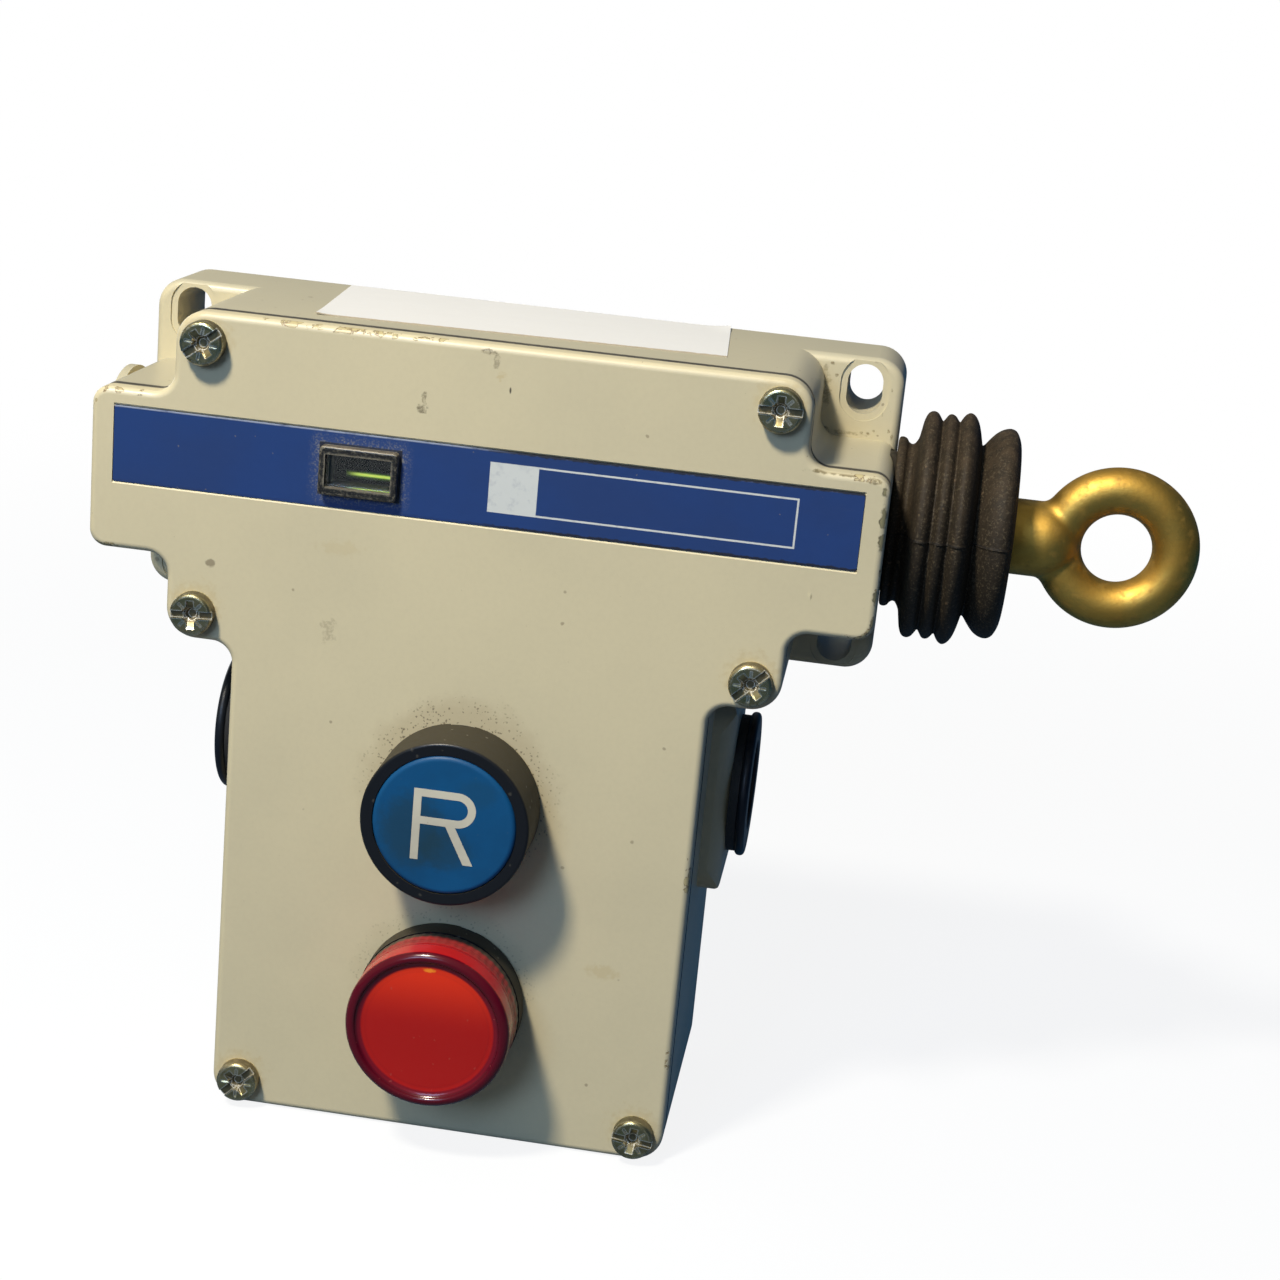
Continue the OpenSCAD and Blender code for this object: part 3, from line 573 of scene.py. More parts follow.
class Finish:
    """A finish that dresses pieces with one material, drawn when it is first used."""

    name: str

    def material(self) -> bpy.types.Material:
        """The Blender material of this finish."""
        name = "finish_" + self.name
        made = bpy.data.materials.get(name)
        if made is None:
            made = bpy.data.materials.new(name)
            made.use_nodes = True
            graph = Graph(made.node_tree)
            shader = graph.add("ShaderNodeBsdfPrincipled")
            graph.feed(graph.add("ShaderNodeOutputMaterial").inputs["Surface"], shader.outputs[0])
            self.draw(graph, shader.inputs)
        return made

    def draw(self, g: Graph, shader: bpy.types.NodeInputs) -> None:
        """Draws the nodes that feed the shader."""
        raise NotImplementedError

    @staticmethod
    def surface(g: Graph, shader: bpy.types.NodeInputs, tone: Socket, rough: Socket,
                height: Socket, depth: float) -> None:
        """Feeds a shader with colour and roughness, and with a normal from a height up to depth."""
        g.feed(shader["Base Color"], tone)
        g.feed(shader["Roughness"], rough)
        g.feed(shader["Normal"], g.bump(height, depth))

    @staticmethod
    def marked(g: Graph, tone: Socket, marks: Iterable[Mark]) -> Socket:
        """The tone with a list of marks laid over it; the ragged ones are broken into grains."""
        marks = tuple(marks)
        if not marks:
            return tone
        grains = g.level(g.use(Group.CLOUDS, Scale=2200, Low=0.36, High=0.58), 0.30, 1.0)
        for mark in marks:
            spot = g.use(Group.SPOT, X=mark.x, Z=mark.z, Width=mark.wide, Height=mark.high,
                         Ragged=mark.ragged)
            whole = grains if mark.broken else 1.0
            tone = g.mix(g.product(spot, mark.share, whole), tone, mark.colour)
        return tone

    def dress(self, *pieces: Union[str, bpy.types.Object]) -> None:
        """Gives pieces, or CAD nodes by name, this finish only."""
        for piece in pieces:
            target = frame["nodes"][piece] if isinstance(piece, str) else piece
            target.data.materials.clear()
            target.data.materials.append(self.material())


@dataclass(frozen=True)
class CastPaint(Finish):
    """Satin paint on a casting, with chipped edges, dirt, fine specks and painted shade in its joints."""

    name: str
    colour: Colour = (0.635, 0.562, 0.360)
    shade: Colour = (0.585, 0.520, 0.335)
    # Colour of painted shade on faces that look up.
    top_shade: Optional[Colour] = None
    primer: Colour = (0.49, 0.415, 0.215)
    rust: Colour = (0.17, 0.105, 0.04)
    metal: Colour = (0.17, 0.165, 0.15)
    grime: Colour = (0.17, 0.12, 0.07)
    # Painted shade in the joint with the gasket, and round the spigot that holds the boot.
    seam_shade: Colour = (0.020, 0.019, 0.020)
    spigot_shade: Colour = (0.016, 0.012, 0.007)
    halo_film: Colour = (0.26, 0.17, 0.075)
    halo_grains: Colour = (0.075, 0.055, 0.032)
    rough: float = 0.36
    speckled: float = 1.0
    seam: tuple[float, float] = (0.0, 0.0)
    spigot_r: float = 0.0
    spigot_x: float = 66.2 * MM
    halos: tuple[tuple[float, float, float, float, float], ...] = ()
    marks: tuple[Mark, ...] = ()
    chips: tuple[Chip, ...] = ()
    chip_level: float = 0.74
    chip_grain: float = 520

    def sound_paint(self, g: Graph, clouds: Socket, up: Socket) -> Socket:
        """Paint in two tones with a fine grain of grime, and painted shade on faces that look up where a top
        shade is given.
        """
        tone = g.mix(clouds, self.colour, self.shade)
        fine = g.use(Group.CLOUDS, Scale=1100, Low=0.3, High=0.8)
        tone = g.mix(g.product(fine, 0.035), tone, self.grime)
        if self.top_shade:
            tone = g.mix(g.product(g.rise(up, 0.3, 0.9), g.level(clouds, 0.97, 0.88)), tone, self.top_shade)
        return tone

    def shaded_joints(self, g: Graph, tone: Socket) -> Socket:
        """Painted shade by depth in the joint with the gasket, broken a little by noise, and painted shade
        round the spigot that holds the boot.
        """
        x, depth, z = g.axes()
        joint_shade = g.product(g.rise(depth, *self.seam), g.level(g.noise(340, 3), 0.7, 1.0))
        tone = g.mix(joint_shade, tone, self.seam_shade)
        if self.spigot_r:
            far = g.length(g.minus(z, BOOT_AXIS[1]), g.minus(depth, BOOT_AXIS[0]))
            under = g.product(g.rise(far, self.spigot_r + 0.2 * MM, self.spigot_r),
                              g.rise(x, self.spigot_x - 0.15 * MM, self.spigot_x))
            tone = g.mix(under, tone, self.spigot_shade)
        return tone

    def speckled_paint(self, g: Graph, tone: Socket) -> Socket:
        """Specks in two sizes, then rings of film and grains round the control units."""
        for scale, size, share, strength in ((260, 0.17, 0.10, 0.5), (520, 0.16, 0.14, 0.55)):
            specks = g.use(Group.SPECKS, Scale=scale, Size=size, Share=share * self.speckled)
            tone = g.mix(g.product(specks, strength), tone, self.grime)
        for x, z, inner, outer, share in self.halos:
            ring = g.use(Group.HALO, X=x, Z=z, Inner=inner, Outer=outer)
            dots = g.larger(g.use(Group.SPECKS, Scale=900, Size=0.30, Share=0.25),
                            g.use(Group.SPECKS, Scale=2100, Size=0.5, Share=0.5))
            tone = g.mix(g.product(ring, 0.28 * share), tone, self.halo_film)
            tone = g.mix(g.product(ring, dots, 0.85 * share), tone, self.halo_grains)
        return tone

    def edge_chips(self, g: Graph, tone: Socket) -> tuple[Socket, Socket]:
        """Chips on the front edge: primer, a brown border and bare metal.

        Args:
            g: The graph that is drawn.
            tone: Colour of the sound paint.

        Returns:
            The new colour and the mask of the chips.
        """
        amount, bare = 0.0, 0.0
        for chip in self.chips:
            spot = g.use(Group.SPOT, X=chip.x, Z=chip.z, Width=chip.wide, Height=chip.high)
            amount = g.plus(amount, spot, clamp=True)
            bare = g.plus(bare, g.product(spot, chip.bare), clamp=True)
        level = g.minus(self.chip_level, g.product(amount, 0.24))
        depth = g.plus(g.product(g.minus(1.0, bare), 0.3), 0.06)
        border, chip, metal = (
            g.use(Group.CHIPPED_EDGE, Scale=self.chip_grain, Level=at)
            for at in (level, g.plus(level, 0.034), g.plus(level, depth)))
        tone = g.mix(g.product(border, 0.9), tone, self.rust)
        tone = g.mix(chip, tone, self.primer)
        return g.mix(metal, tone, self.metal), border

    def draw(self, g: Graph, shader: bpy.types.NodeInputs) -> None:
        """Paint, dirt and specks, then the marks on the front faces and the chips."""
        clouds = g.use(Group.CLOUDS, Scale=22, Low=0.35, High=0.7)
        _, facing, up = g.normal()
        tone = self.sound_paint(g, clouds, up)
        tone = self.speckled_paint(g, self.shaded_joints(g, tone))
        front = g.rise(g.size(facing), 0.30, 0.75)
        tone, border = self.edge_chips(g, g.mix(front, tone, self.marked(g, tone, self.marks)))
        marks = g.use(Group.SCRATCHES, Scale=50, Amount=0.5)
        rough = g.plus(g.level(clouds, self.rough, self.rough + 0.10), g.product(marks, 0.2))
        skin = g.minus(g.product(g.noise(420, 3, 0.6), 0.4), g.product(border, 1.2))
        self.surface(g, shader, tone, rough, skin, 0.04 * MM)


@dataclass(frozen=True)
class Moulded(Finish):
    """Moulded plastic or rubber with grain, dust on its upper faces, specks and marks."""

    name: str
    colour: Colour
    dust_colour: Colour = (0.22, 0.19, 0.13)
    dust: float = 0.5
    rough: float = 0.45
    more_rough: float = 0.35
    grain: float = 700
    grain_kind: tuple[float, float] = (3, 0.6)
    grain_depth: float = 0.03 * MM
    specks: float = 0.12
    marks: tuple[Mark, ...] = ()
    shine: float = 0.5

    def tone(self, g: Graph) -> tuple[Socket, Socket]:
        """Even tone with clouds, dust and specks.

        Args:
            g: The graph that is drawn.

        Returns:
            The colour and how dull the surface is.
        """
        clouds = g.use(Group.CLOUDS, Scale=90, Low=0.3, High=0.75)
        tone = g.mix(clouds, self.colour, scaled(self.colour, 0.78))
        settled = g.use(Group.DUST, Amount=self.dust, Scale=420)
        tone = g.mix(settled, tone, self.dust_colour)
        dots = g.use(Group.SPECKS, Scale=800, Size=0.35, Share=0.12)
        tone = g.mix(g.product(dots, g.plus(settled, self.specks, clamp=True), 0.7), tone,
                     scaled(self.dust_colour, 1.7))
        return tone, g.plus(settled, g.product(clouds, 0.3), clamp=True)

    def draw(self, g: Graph, shader: bpy.types.NodeInputs) -> None:
        """The tone with its marks, over a fine grain."""
        tone, dull = self.tone(g)
        rough = g.level(dull, self.rough, min(0.95, self.rough + self.more_rough))
        skin = g.noise(self.grain, *self.grain_kind)
        self.surface(g, shader, self.marked(g, tone, self.marks), rough, skin, self.grain_depth)
        shader["Specular IOR Level"].default_value = self.shine


@dataclass(frozen=True)
class BootRubber(Moulded):
    """Rubber with the parting line of its mould along two sides."""

    grit: Colour = (0.108, 0.085, 0.050)
    line: Colour = (0.004, 0.004, 0.004)
    more_rough: float = 0.3
    grain_kind: tuple[float, float] = (4, 0.65)

    def tone(self, g: Graph) -> tuple[Socket, Socket]:
        """Rubber tone with grit, and a dark line where the halves of the mould met.

        Args:
            g: The graph that is drawn.

        Returns:
            The colour and how dull the surface is.
        """
        tone, dull = super().tone(g)
        _, y, z = g.axes()
        lift = g.product(g.minus(z, BOOT_AXIS[1]), math.cos(BOOT_SEAM_TILT))
        swing = g.product(g.minus(y, BOOT_AXIS[0]), math.sin(BOOT_SEAM_TILT))
        far = g.plus(g.plus(lift, swing), g.product(g.noise(240, 2), 0.3 * MM))
        line = g.rise(g.size(g.minus(far, 0.3 * MM)), 0.22 * MM, 0.06 * MM)
        grit = g.rise(g.noise(2300, 3, 0.7), 0.53, 0.64)
        tone = g.mix(g.product(grit, 0.52), tone, self.grit)
        return g.mix(g.product(line, 0.8), tone, self.line), dull


@dataclass(frozen=True)
class DustyRing(Finish):
    """Black moulded ring: a brown film of dust on its side, a cleaner front."""

    name: str
    colour: Colour = (0.0065, 0.0075, 0.0095)
    film: Colour = (0.052, 0.044, 0.025)
    speck: Colour = (0.24, 0.22, 0.17)
    rough: float = 0.34
    side: float = 0.92
    shine: float = 0.32

    def draw(self, g: Graph, shader: bpy.types.NodeInputs) -> None:
        """Film by how far the face turns from the front, with grain, and light specks."""
        _, facing, up = g.normal()
        side = g.rise(g.size(facing), 0.80, 0.25)
        above = g.level(g.rise(up, -0.7, 0.5), 0.45, 1.0)
        grain = g.use(Group.CLOUDS, Scale=700, Low=0.2, High=0.75)
        share = g.product(side, above, g.level(grain, self.side, self.side - 0.22))
        tone = g.mix(share, self.colour, self.film)
        dots = g.use(Group.SPECKS, Scale=1000, Size=0.34, Share=0.16)
        tone = g.mix(g.product(dots, g.level(side, 0.16, 0.55)), tone, self.speck)
        rough = g.level(share, self.rough, 0.85)
        self.surface(g, shader, tone, rough, g.noise(900, 3, 0.6), 0.02 * MM)
        shader["Specular IOR Level"].default_value = self.shine


@dataclass(frozen=True)
class PaperSheet(Finish):
    """White paper whose front edge is dirty; the edge runs through two (x, y) points."""

    name: str
    start: tuple[float, float]
    end: tuple[float, float]
    colour: Colour = (0.75, 0.745, 0.715)
    dirt: Colour = (0.36, 0.27, 0.13)

    def draw(self, g: Graph, shader: bpy.types.NodeInputs) -> None:
        """Even white, with dirt by the distance from the line of the front edge."""
        x, y, _ = g.axes()
        slope = (self.end[1] - self.start[1]) / (self.end[0] - self.start[0])
        front = g.math("MULTIPLY_ADD", x, slope)
        front.node.inputs[2].default_value = self.start[1] - slope * self.start[0]
        ragged = g.product(g.noise(700, 4, 0.6), 1.1 * MM)
        edge = g.rise(g.minus(y, g.plus(front, ragged)), 0.25 * MM, -0.1 * MM)
        clouds = g.use(Group.CLOUDS, Scale=70, Low=0.3, High=0.8)
        tone = g.mix(clouds, self.colour, scaled(self.colour, 0.965))
        tone = g.mix(g.product(edge, 0.75), tone, self.dirt)
        self.surface(g, shader, tone, g.level(clouds, 0.55, 0.68), g.noise(2400, 2), 0.01 * MM)


@dataclass(frozen=True)
class Plated(Finish):
    """Bare or plated metal: patches of tone, dull spots and fine scratches."""

    name: str
    colour: Colour
    patch: Colour
    rough: float = 0.34
    patches: float = 140
    dirt: Colour = (0.05, 0.04, 0.025)
    dirt_share: float = 0.25
    grain_depth: float = 0.02 * MM

    def draw(self, g: Graph, shader: bpy.types.NodeInputs) -> None:
        """Two tones of metal under a broken film of dirt that also dulls the shine."""
        clouds = g.use(Group.CLOUDS, Scale=self.patches, Low=0.32, High=0.7)
        tone = g.mix(clouds, self.colour, self.patch)
        film = g.use(Group.CLOUDS, Scale=self.patches * 3.1, Low=0.5, High=0.78)
        film = g.product(film, self.dirt_share)
        marks = g.use(Group.SCRATCHES, Scale=130, Amount=0.7)
        g.feed(shader["Metallic"], g.minus(1.0, g.product(film, 0.8)))
        dull = g.plus(g.level(clouds, self.rough, self.rough + 0.12), g.product(marks, 0.15))
        rough = g.plus(dull, g.product(film, 0.4), clamp=True)
        tone = g.mix(film, tone, self.dirt)
        self.surface(g, shader, tone, rough, g.noise(1400, 3, 0.6), self.grain_depth)


@dataclass(frozen=True)
class ScrewPlating(Plated):
    """Plated screw heads: painted highlights on their edges, round a recess that is darker brown."""

    # Colour of the painted highlights on the edges of the head.
    edge: Colour = (0.92, 0.88, 0.74)
    recess_tone: Colour = (0.050, 0.038, 0.020)
    face_y: float = -50.6 * MM

    def draw(self, g: Graph, shader: bpy.types.NodeInputs) -> None:
        """Tone in patches with stains, darker brown by depth under the face, and painted highlights on the
        edges.
        """
        clouds = g.use(Group.CLOUDS, Scale=self.patches, Low=0.32, High=0.7)
        stains = g.use(Group.CLOUDS, Scale=420, Low=0.42, High=0.62)
        tone = g.mix(clouds, self.colour, self.patch)
        tone = g.mix(g.product(stains, 0.5), tone, self.dirt)
        _, y, _ = g.axes()
        deep = g.product(g.rise(y, self.face_y + 0.15 * MM, self.face_y + 0.9 * MM),
                         g.rise(y, self.face_y + 2.4 * MM, self.face_y + 2.2 * MM))
        recess_share = g.product(deep, g.level(g.noise(900, 3), 0.35, 1.0))
        # Painted highlight: the edges of the head are made bright as if they catch the light.
        edge_sheen = g.use(Group.EDGE_DUST_AND_SHEEN, Width=0.3 * MM, Scale=1500, Amount=0.7)
        tone = g.mix(edge_sheen, g.mix(recess_share, tone, self.recess_tone), self.edge)
        g.feed(shader["Metallic"], g.minus(1.0, g.product(recess_share, 0.75)))
        dull = g.level(stains, self.rough, self.rough + 0.15)
        rough = g.plus(dull, g.product(recess_share, 0.3), clamp=True)
        self.surface(g, shader, tone, rough, g.noise(1400, 3, 0.6), self.grain_depth)


@dataclass(frozen=True)
class FrameMoulded(DustyRing):
    """Black moulded frame of the window, with dust caught along its edges."""

    edge_dust: Colour = (0.26, 0.235, 0.17)

    def draw(self, g: Graph, shader: bpy.types.NodeInputs) -> None:
        """Black with light grains, and broken lines of dust on the edges."""
        grains = g.use(Group.CLOUDS, Scale=2600, Low=0.50, High=0.68)
        tone = g.mix(g.product(grains, 0.30), self.colour, self.edge_dust)
        _, _, up = g.normal()
        tone = g.mix(g.product(g.rise(up, 0.2, 0.8), g.level(g.noise(800, 3), 0.3, 0.9)), tone, self.film)
        edge = g.use(Group.EDGE_DUST_AND_SHEEN, Width=0.7 * MM, Scale=1700, Amount=0.55)
        tone = g.mix(g.product(edge, 0.85), tone, self.edge_dust)
        rough = g.level(edge, self.rough, 0.85)
        self.surface(g, shader, tone, rough, g.noise(900, 3, 0.6), 0.02 * MM)


@dataclass(frozen=True)
class IndicatorInk(Moulded):
    """Green ink of the indicator, bright along a line with a painted glow, and fading below it."""

    bright: Colour = (0.80, 1.0, 0.16)
    shade: Colour = (0.020, 0.030, 0.010)
    line_z: float = 2.95 * MM
    start_x: float = -24.4 * MM

    def draw(self, g: Graph, shader: bpy.types.NodeInputs) -> None:
        """Bright by the distance from the line, with a painted glow there, dimmer towards its left end."""
        x, _, z = g.axes()
        off = g.size(g.minus(z, self.line_z))
        near = g.rise(off, 0.75 * MM, 0.12 * MM)
        along = g.rise(x, self.start_x, self.start_x + 3 * MM)
        core = g.product(g.rise(off, 0.4 * MM, 0.05 * MM), along)
        tone = g.mix(g.product(near, g.level(along, 0.3, 1.0)), self.shade, self.colour)
        g.feed(shader["Base Color"], g.mix(core, tone, self.bright))
        # Painted glow: the line emits light though it is no lamp.
        g.feed(shader["Emission Color"], g.mix(core, BLACK, self.bright))
        shader["Emission Strength"].default_value = 0.55
        g.feed(shader["Roughness"], g.level(g.noise(self.grain), self.rough, self.rough + 0.2))
        shader["Specular IOR Level"].default_value = self.shine


@dataclass(frozen=True)
class StripPrint(Finish):
    """Blue printed strip with an empty white outlined field and a blank white panel."""

    name: str
    colour: Colour = (0.019, 0.050, 0.175)
    # Painted highlight along the top edge.
    edge: Colour = (0.42, 0.47, 0.58)
    dust: Colour = (0.27, 0.26, 0.22)
    speck: Colour = (0.25, 0.22, 0.16)
    # Painted shade at the foot of the window frame.
    frame_foot_shade: Colour = (0.02, 0.018, 0.014)
    # Dirt with the painted shadow of the gap along the long edges.
    edge_shade_and_dirt: Colour = (0.018, 0.016, 0.013)
    ink: Colour = (0.62, 0.64, 0.60)
    top: float = 10.9 * MM
    low: float = -2.1 * MM
    frame: tuple[float, float, float, float] = (-27.4 * MM, -14.0 * MM, 0.25 * MM, 8.55 * MM)
    field: tuple[float, float, float, float] = (1.2 * MM, 52.6 * MM, 0.4 * MM, 8.9 * MM)
    panel: tuple[float, float, float, float] = (1.2 * MM, 9.4 * MM, 0.4 * MM, 8.9 * MM)
    line: float = 0.32 * MM
    # Span of x over which the top edge's painted highlight fades and the painted shadow grows.
    shaded_side: tuple[float, float] = (-6 * MM, 8 * MM)

    @staticmethod
    def inside(g: Graph, limits: Sequence[float], inset: float, soft: float = 0.05 * MM) -> Socket:
        """1 inside a rectangle (x low, x high, z low, z high) made smaller by inset, else 0."""
        x, _, z = g.axes()
        sides = []
        for place, low, high in ((x, *limits[:2]), (z, *limits[2:])):
            sides.append(g.rise(place, low + inset - soft, low + inset + soft))
            sides.append(g.rise(place, high - inset + soft, high - inset - soft))
        return g.product(*sides)

    def framed(self, g: Graph, tone: Socket) -> Socket:
        """Grains of dust round the window frame, and painted shade on the strip at its foot."""
        near = g.minus(self.inside(g, self.frame, -1.2 * MM, 1.4 * MM),
                       self.inside(g, self.frame, -0.15 * MM), clamp=True)
        grains = g.use(Group.CLOUDS, Scale=3600, Low=0.50, High=0.64)
        patches = g.level(g.noise(380, 3), 0.2, 1.3)
        tone = g.mix(g.product(near, patches, g.level(grains, 0.10, 0.95)), tone, self.dust)
        return g.mix(g.product(self.inside(g, self.frame, -0.35 * MM), 0.85), tone, self.frame_foot_shade)

    def printed(self, g: Graph, tone: Socket, thin: Socket) -> Socket:
        """White ink, a little thin in places: the outline of the field, and the panel."""
        ink = g.minus(self.inside(g, self.field, 0), self.inside(g, self.field, self.line))
        ink = g.larger(ink, self.inside(g, self.panel, 0), clamp=True)
        return g.mix(g.product(ink, g.level(thin, 0.82, 1.0)), tone, self.ink)

    def lit_and_shaded_edges(self, g: Graph, tone: Socket, thin: Socket) -> Socket:
        """A painted highlight along the top edge, and a dark ragged line on both long edges, more of it on
        the right, that is dirt with the painted shadow of the gap beside the strip.
        """
        x, _, z = g.axes()
        right = g.rise(x, *self.shaded_side)
        top = g.rise(z, self.top - 0.34 * MM, self.top - 0.12 * MM)
        tone = g.mix(g.product(top, g.level(thin, 0.35, 0.9), g.level(right, 1.0, 0.25)), tone, self.edge)
        ragged = g.product(g.noise(900, 4, 0.65), 0.9 * MM)
        high = g.rise(g.plus(z, ragged), self.top + 0.06 * MM, self.top + 0.22 * MM)
        low = g.rise(g.minus(z, ragged), self.low + 0.02 * MM, self.low - 0.14 * MM)
        return g.mix(g.product(g.larger(high, low), g.level(right, 0.15, 0.85)), tone, self.edge_shade_and_dirt)

    def draw(self, g: Graph, shader: bpy.types.NodeInputs) -> None:
        """Blue with faint patches, then the dust and painted shade at the window, the ink, the painted
        highlight and shadow on the edges, and specks.
        """
        clouds = g.use(Group.CLOUDS, Scale=55, Low=0.35, High=0.7)
        tone = g.mix(clouds, self.colour, scaled(self.colour, 0.84))
        thin = g.use(Group.CLOUDS, Scale=700, Low=0.25, High=0.5)
        tone = self.lit_and_shaded_edges(g, self.printed(g, self.framed(g, tone), thin), thin)
        specks = g.use(Group.SPECKS, Scale=620, Size=0.2, Share=0.14)
        tone = g.mix(g.product(specks, 0.45), tone, self.speck)
        marks = g.use(Group.SCRATCHES, Scale=70, Amount=0.8)
        rough = g.plus(g.level(clouds, 0.30, 0.40), g.product(marks, 0.2))
        self.surface(g, shader, tone, rough, g.noise(420, 3, 0.6), 0.03 * MM)


@dataclass(frozen=True)
class LensRed(Finish):
    """Translucent red of the lamp lens, with the light that comes through it from above painted in: a lighter
    top on the face, a glint on the rim and a darker underside on the wall.
    """

    name: str
    centre_z: float
    # Painted light on the face: lighter at the top, darker in the middle, a little lighter low down.
    top: Colour = (0.74, 0.034, 0.008)
    middle: Colour = (0.40, 0.009, 0.006)
    low: Colour = (0.43, 0.010, 0.007)
    rim: Colour = (0.085, 0.0015, 0.008)
    line: Colour = (0.16, 0.004, 0.012)
    side: Colour = (0.46, 0.012, 0.014)
    dust: Colour = (0.10, 0.042, 0.032)
    speck: Colour = (0.42, 0.12, 0.09)
    foot: Colour = (0.060, 0.045, 0.028)
    # Painted highlight on the inner top of the rim.
    glint: Colour = (0.95, 0.30, 0.02)
    glint_up: float = 11.1 * MM
    face_r: float = 11.75 * MM
    back_y: float = -52.5 * MM
    rough: float = 0.19
    coat: float = 0.16

    def face(self, g: Graph, far: Socket, up: Socket) -> Socket:
        """Face: painted light by height from the middle, lighter at the top, then a faint step, the groove
        and the rim by radius.
        """
        tone = g.mix(g.rise(up, 0.0, 1.05), self.middle, self.top)
        tone = g.mix(g.rise(up, -0.15, -0.9), tone, self.low)
        step = g.product(g.rise(far, self.face_r - 1.25 * MM, self.face_r - 1.0 * MM),
                         g.rise(far, self.face_r - 0.65 * MM, self.face_r - 0.9 * MM))
        tone = g.mix(g.product(step, 0.08), tone, self.rim)
        tone = g.mix(g.rise(far, self.face_r - 0.35 * MM, self.face_r + 0.1 * MM), tone, self.line)
        return g.mix(g.rise(far, self.face_r + 0.35 * MM, self.face_r + 0.75 * MM), tone, self.rim)

    def wall(self, g: Graph, depth: Socket, above: Socket, film: Socket, clean: Socket) -> Socket:
        """Side by depth from the back: dark foot, dusty flutes, clean rim with one band, and painted shade
        where the wall faces down.
        """
        dusty = g.mix(film, self.side, self.dust)
        dusty = g.mix(g.rise(depth, -1.9 * MM, -1.2 * MM), dusty, self.foot)
        band = g.product(g.rise(depth, -4.6 * MM, -4.8 * MM), g.rise(depth, -5.3 * MM, -5.1 * MM))
        tone = g.mix(clean, dusty, self.side)
        tone = g.mix(g.product(band, 0.3), tone, self.rim)
        # Painted shade where the wall faces down.
        return g.mix(g.rise(above, 0.3, -0.6), tone, self.rim)

    def draw(self, g: Graph, shader: bpy.types.NodeInputs) -> None:
        """Face where it looks to the front and wall where it turns away, under a clear coat."""
        x, y, z = g.axes()
        rise = g.minus(z, self.centre_z)
        face = self.face(g, g.length(x, rise), g.math("DIVIDE", rise, self.face_r))
        _, facing, above = g.normal()
        turned_away = g.rise(g.size(facing), 0.35, 0.12)
        depth = g.minus(y, self.back_y)
        clean = g.rise(depth, -3.6 * MM, -5.4 * MM)
        film = g.level(g.use(Group.CLOUDS, Scale=600, Low=0.2, High=0.8), 0.30, 0.66)
        tone = g.mix(turned_away, face, self.wall(g, depth, above, film, clean))
        dots = g.use(Group.SPECKS, Scale=1100, Size=0.3, Share=0.1)
        tone = g.mix(g.product(dots, 0.25), tone, self.speck)
        # A painted highlight on the inner top of the rim.
        glint = Mark(-0.4 * MM, self.centre_z + self.glint_up, 1.3 * MM, 0.5 * MM, 0.9, self.glint)
        g.feed(shader["Base Color"], self.marked(g, tone, (glint,)))
        dull = g.product(turned_away, g.minus(1.0, clean), film)
        g.feed(shader["Roughness"], g.level(dull, self.rough, 0.75))
        g.feed(shader["Coat Weight"], g.level(dull, self.coat, 0.0))
        shader["Coat Roughness"].default_value = 0.04
        shader["Specular IOR Level"].default_value = 0.30


@dataclass(frozen=True)
class GlassClear(Finish):
    """Clear window or bulb."""

    name: str
    colour: Colour = (0.86, 0.90, 0.86)
    rough: float = 0.06

    def draw(self, g: Graph, shader: bpy.types.NodeInputs) -> None:
        """Clear with a faint uneven film."""
        clouds = g.use(Group.CLOUDS, Scale=300, Low=0.4, High=0.8)
        g.feed(shader["Base Color"], g.mix(clouds, self.colour, scaled(self.colour, 0.9)))
        g.feed(shader["Roughness"], g.level(clouds, self.rough, self.rough + 0.1))
        shader["Transmission Weight"].default_value = 1.0
        shader["IOR"].default_value = 1.45
        shader["Specular IOR Level"].default_value = 0.12


# ---------------------------------------------------------------- finishes of this object

UNIT_Z = {"button": -51.5 * MM, "lamp": -88.4 * MM}
SCREW_PLACES = ((-48, 23.25), (48, 23.25), (-48, -23.25), (48, -23.25), (-36.1, -109.5), (36.1, -109.5))
BROWN: Colour = (0.12, 0.085, 0.045)
YELLOW_STAIN: Colour = (0.48, 0.36, 0.15)
BAKED_DUST: Colour = (0.15, 0.115, 0.045)
EAR_BROWN: Colour = (0.15, 0.105, 0.035)
PRIMER: Colour = (0.27, 0.245, 0.13)
PRIMER_RIM: Colour = (0.055, 0.045, 0.018)


def marks_at(*rows: tuple) -> tuple[Mark, ...]:
    """Marks from rows that follow the fields of Mark, with places and half sizes in mm."""
    return tuple(Mark(*(size * MM for size in row[:4]), *row[4:]) for row in rows)


def chips_at(*rows: tuple[float, float, float, float, float]) -> tuple[Chip, ...]:
    """Chips from rows that follow the fields of Chip, with places and half sizes in mm."""
    return tuple(Chip(*(size * MM for size in row[:4]), row[4]) for row in rows)


def flakes(*places: tuple[float, float, float, float]) -> tuple[Mark, ...]:
    """Flaked paint at places (x, z, half width, half height) in mm: a dark rim round dull primer."""
    return marks_at(*(
        (x, z, wide + grow, high + grow, 0.95, colour, 2.2)
        for x, z, wide, high in places
        for grow, colour in ((0.24, PRIMER_RIM), (0.0, PRIMER))))


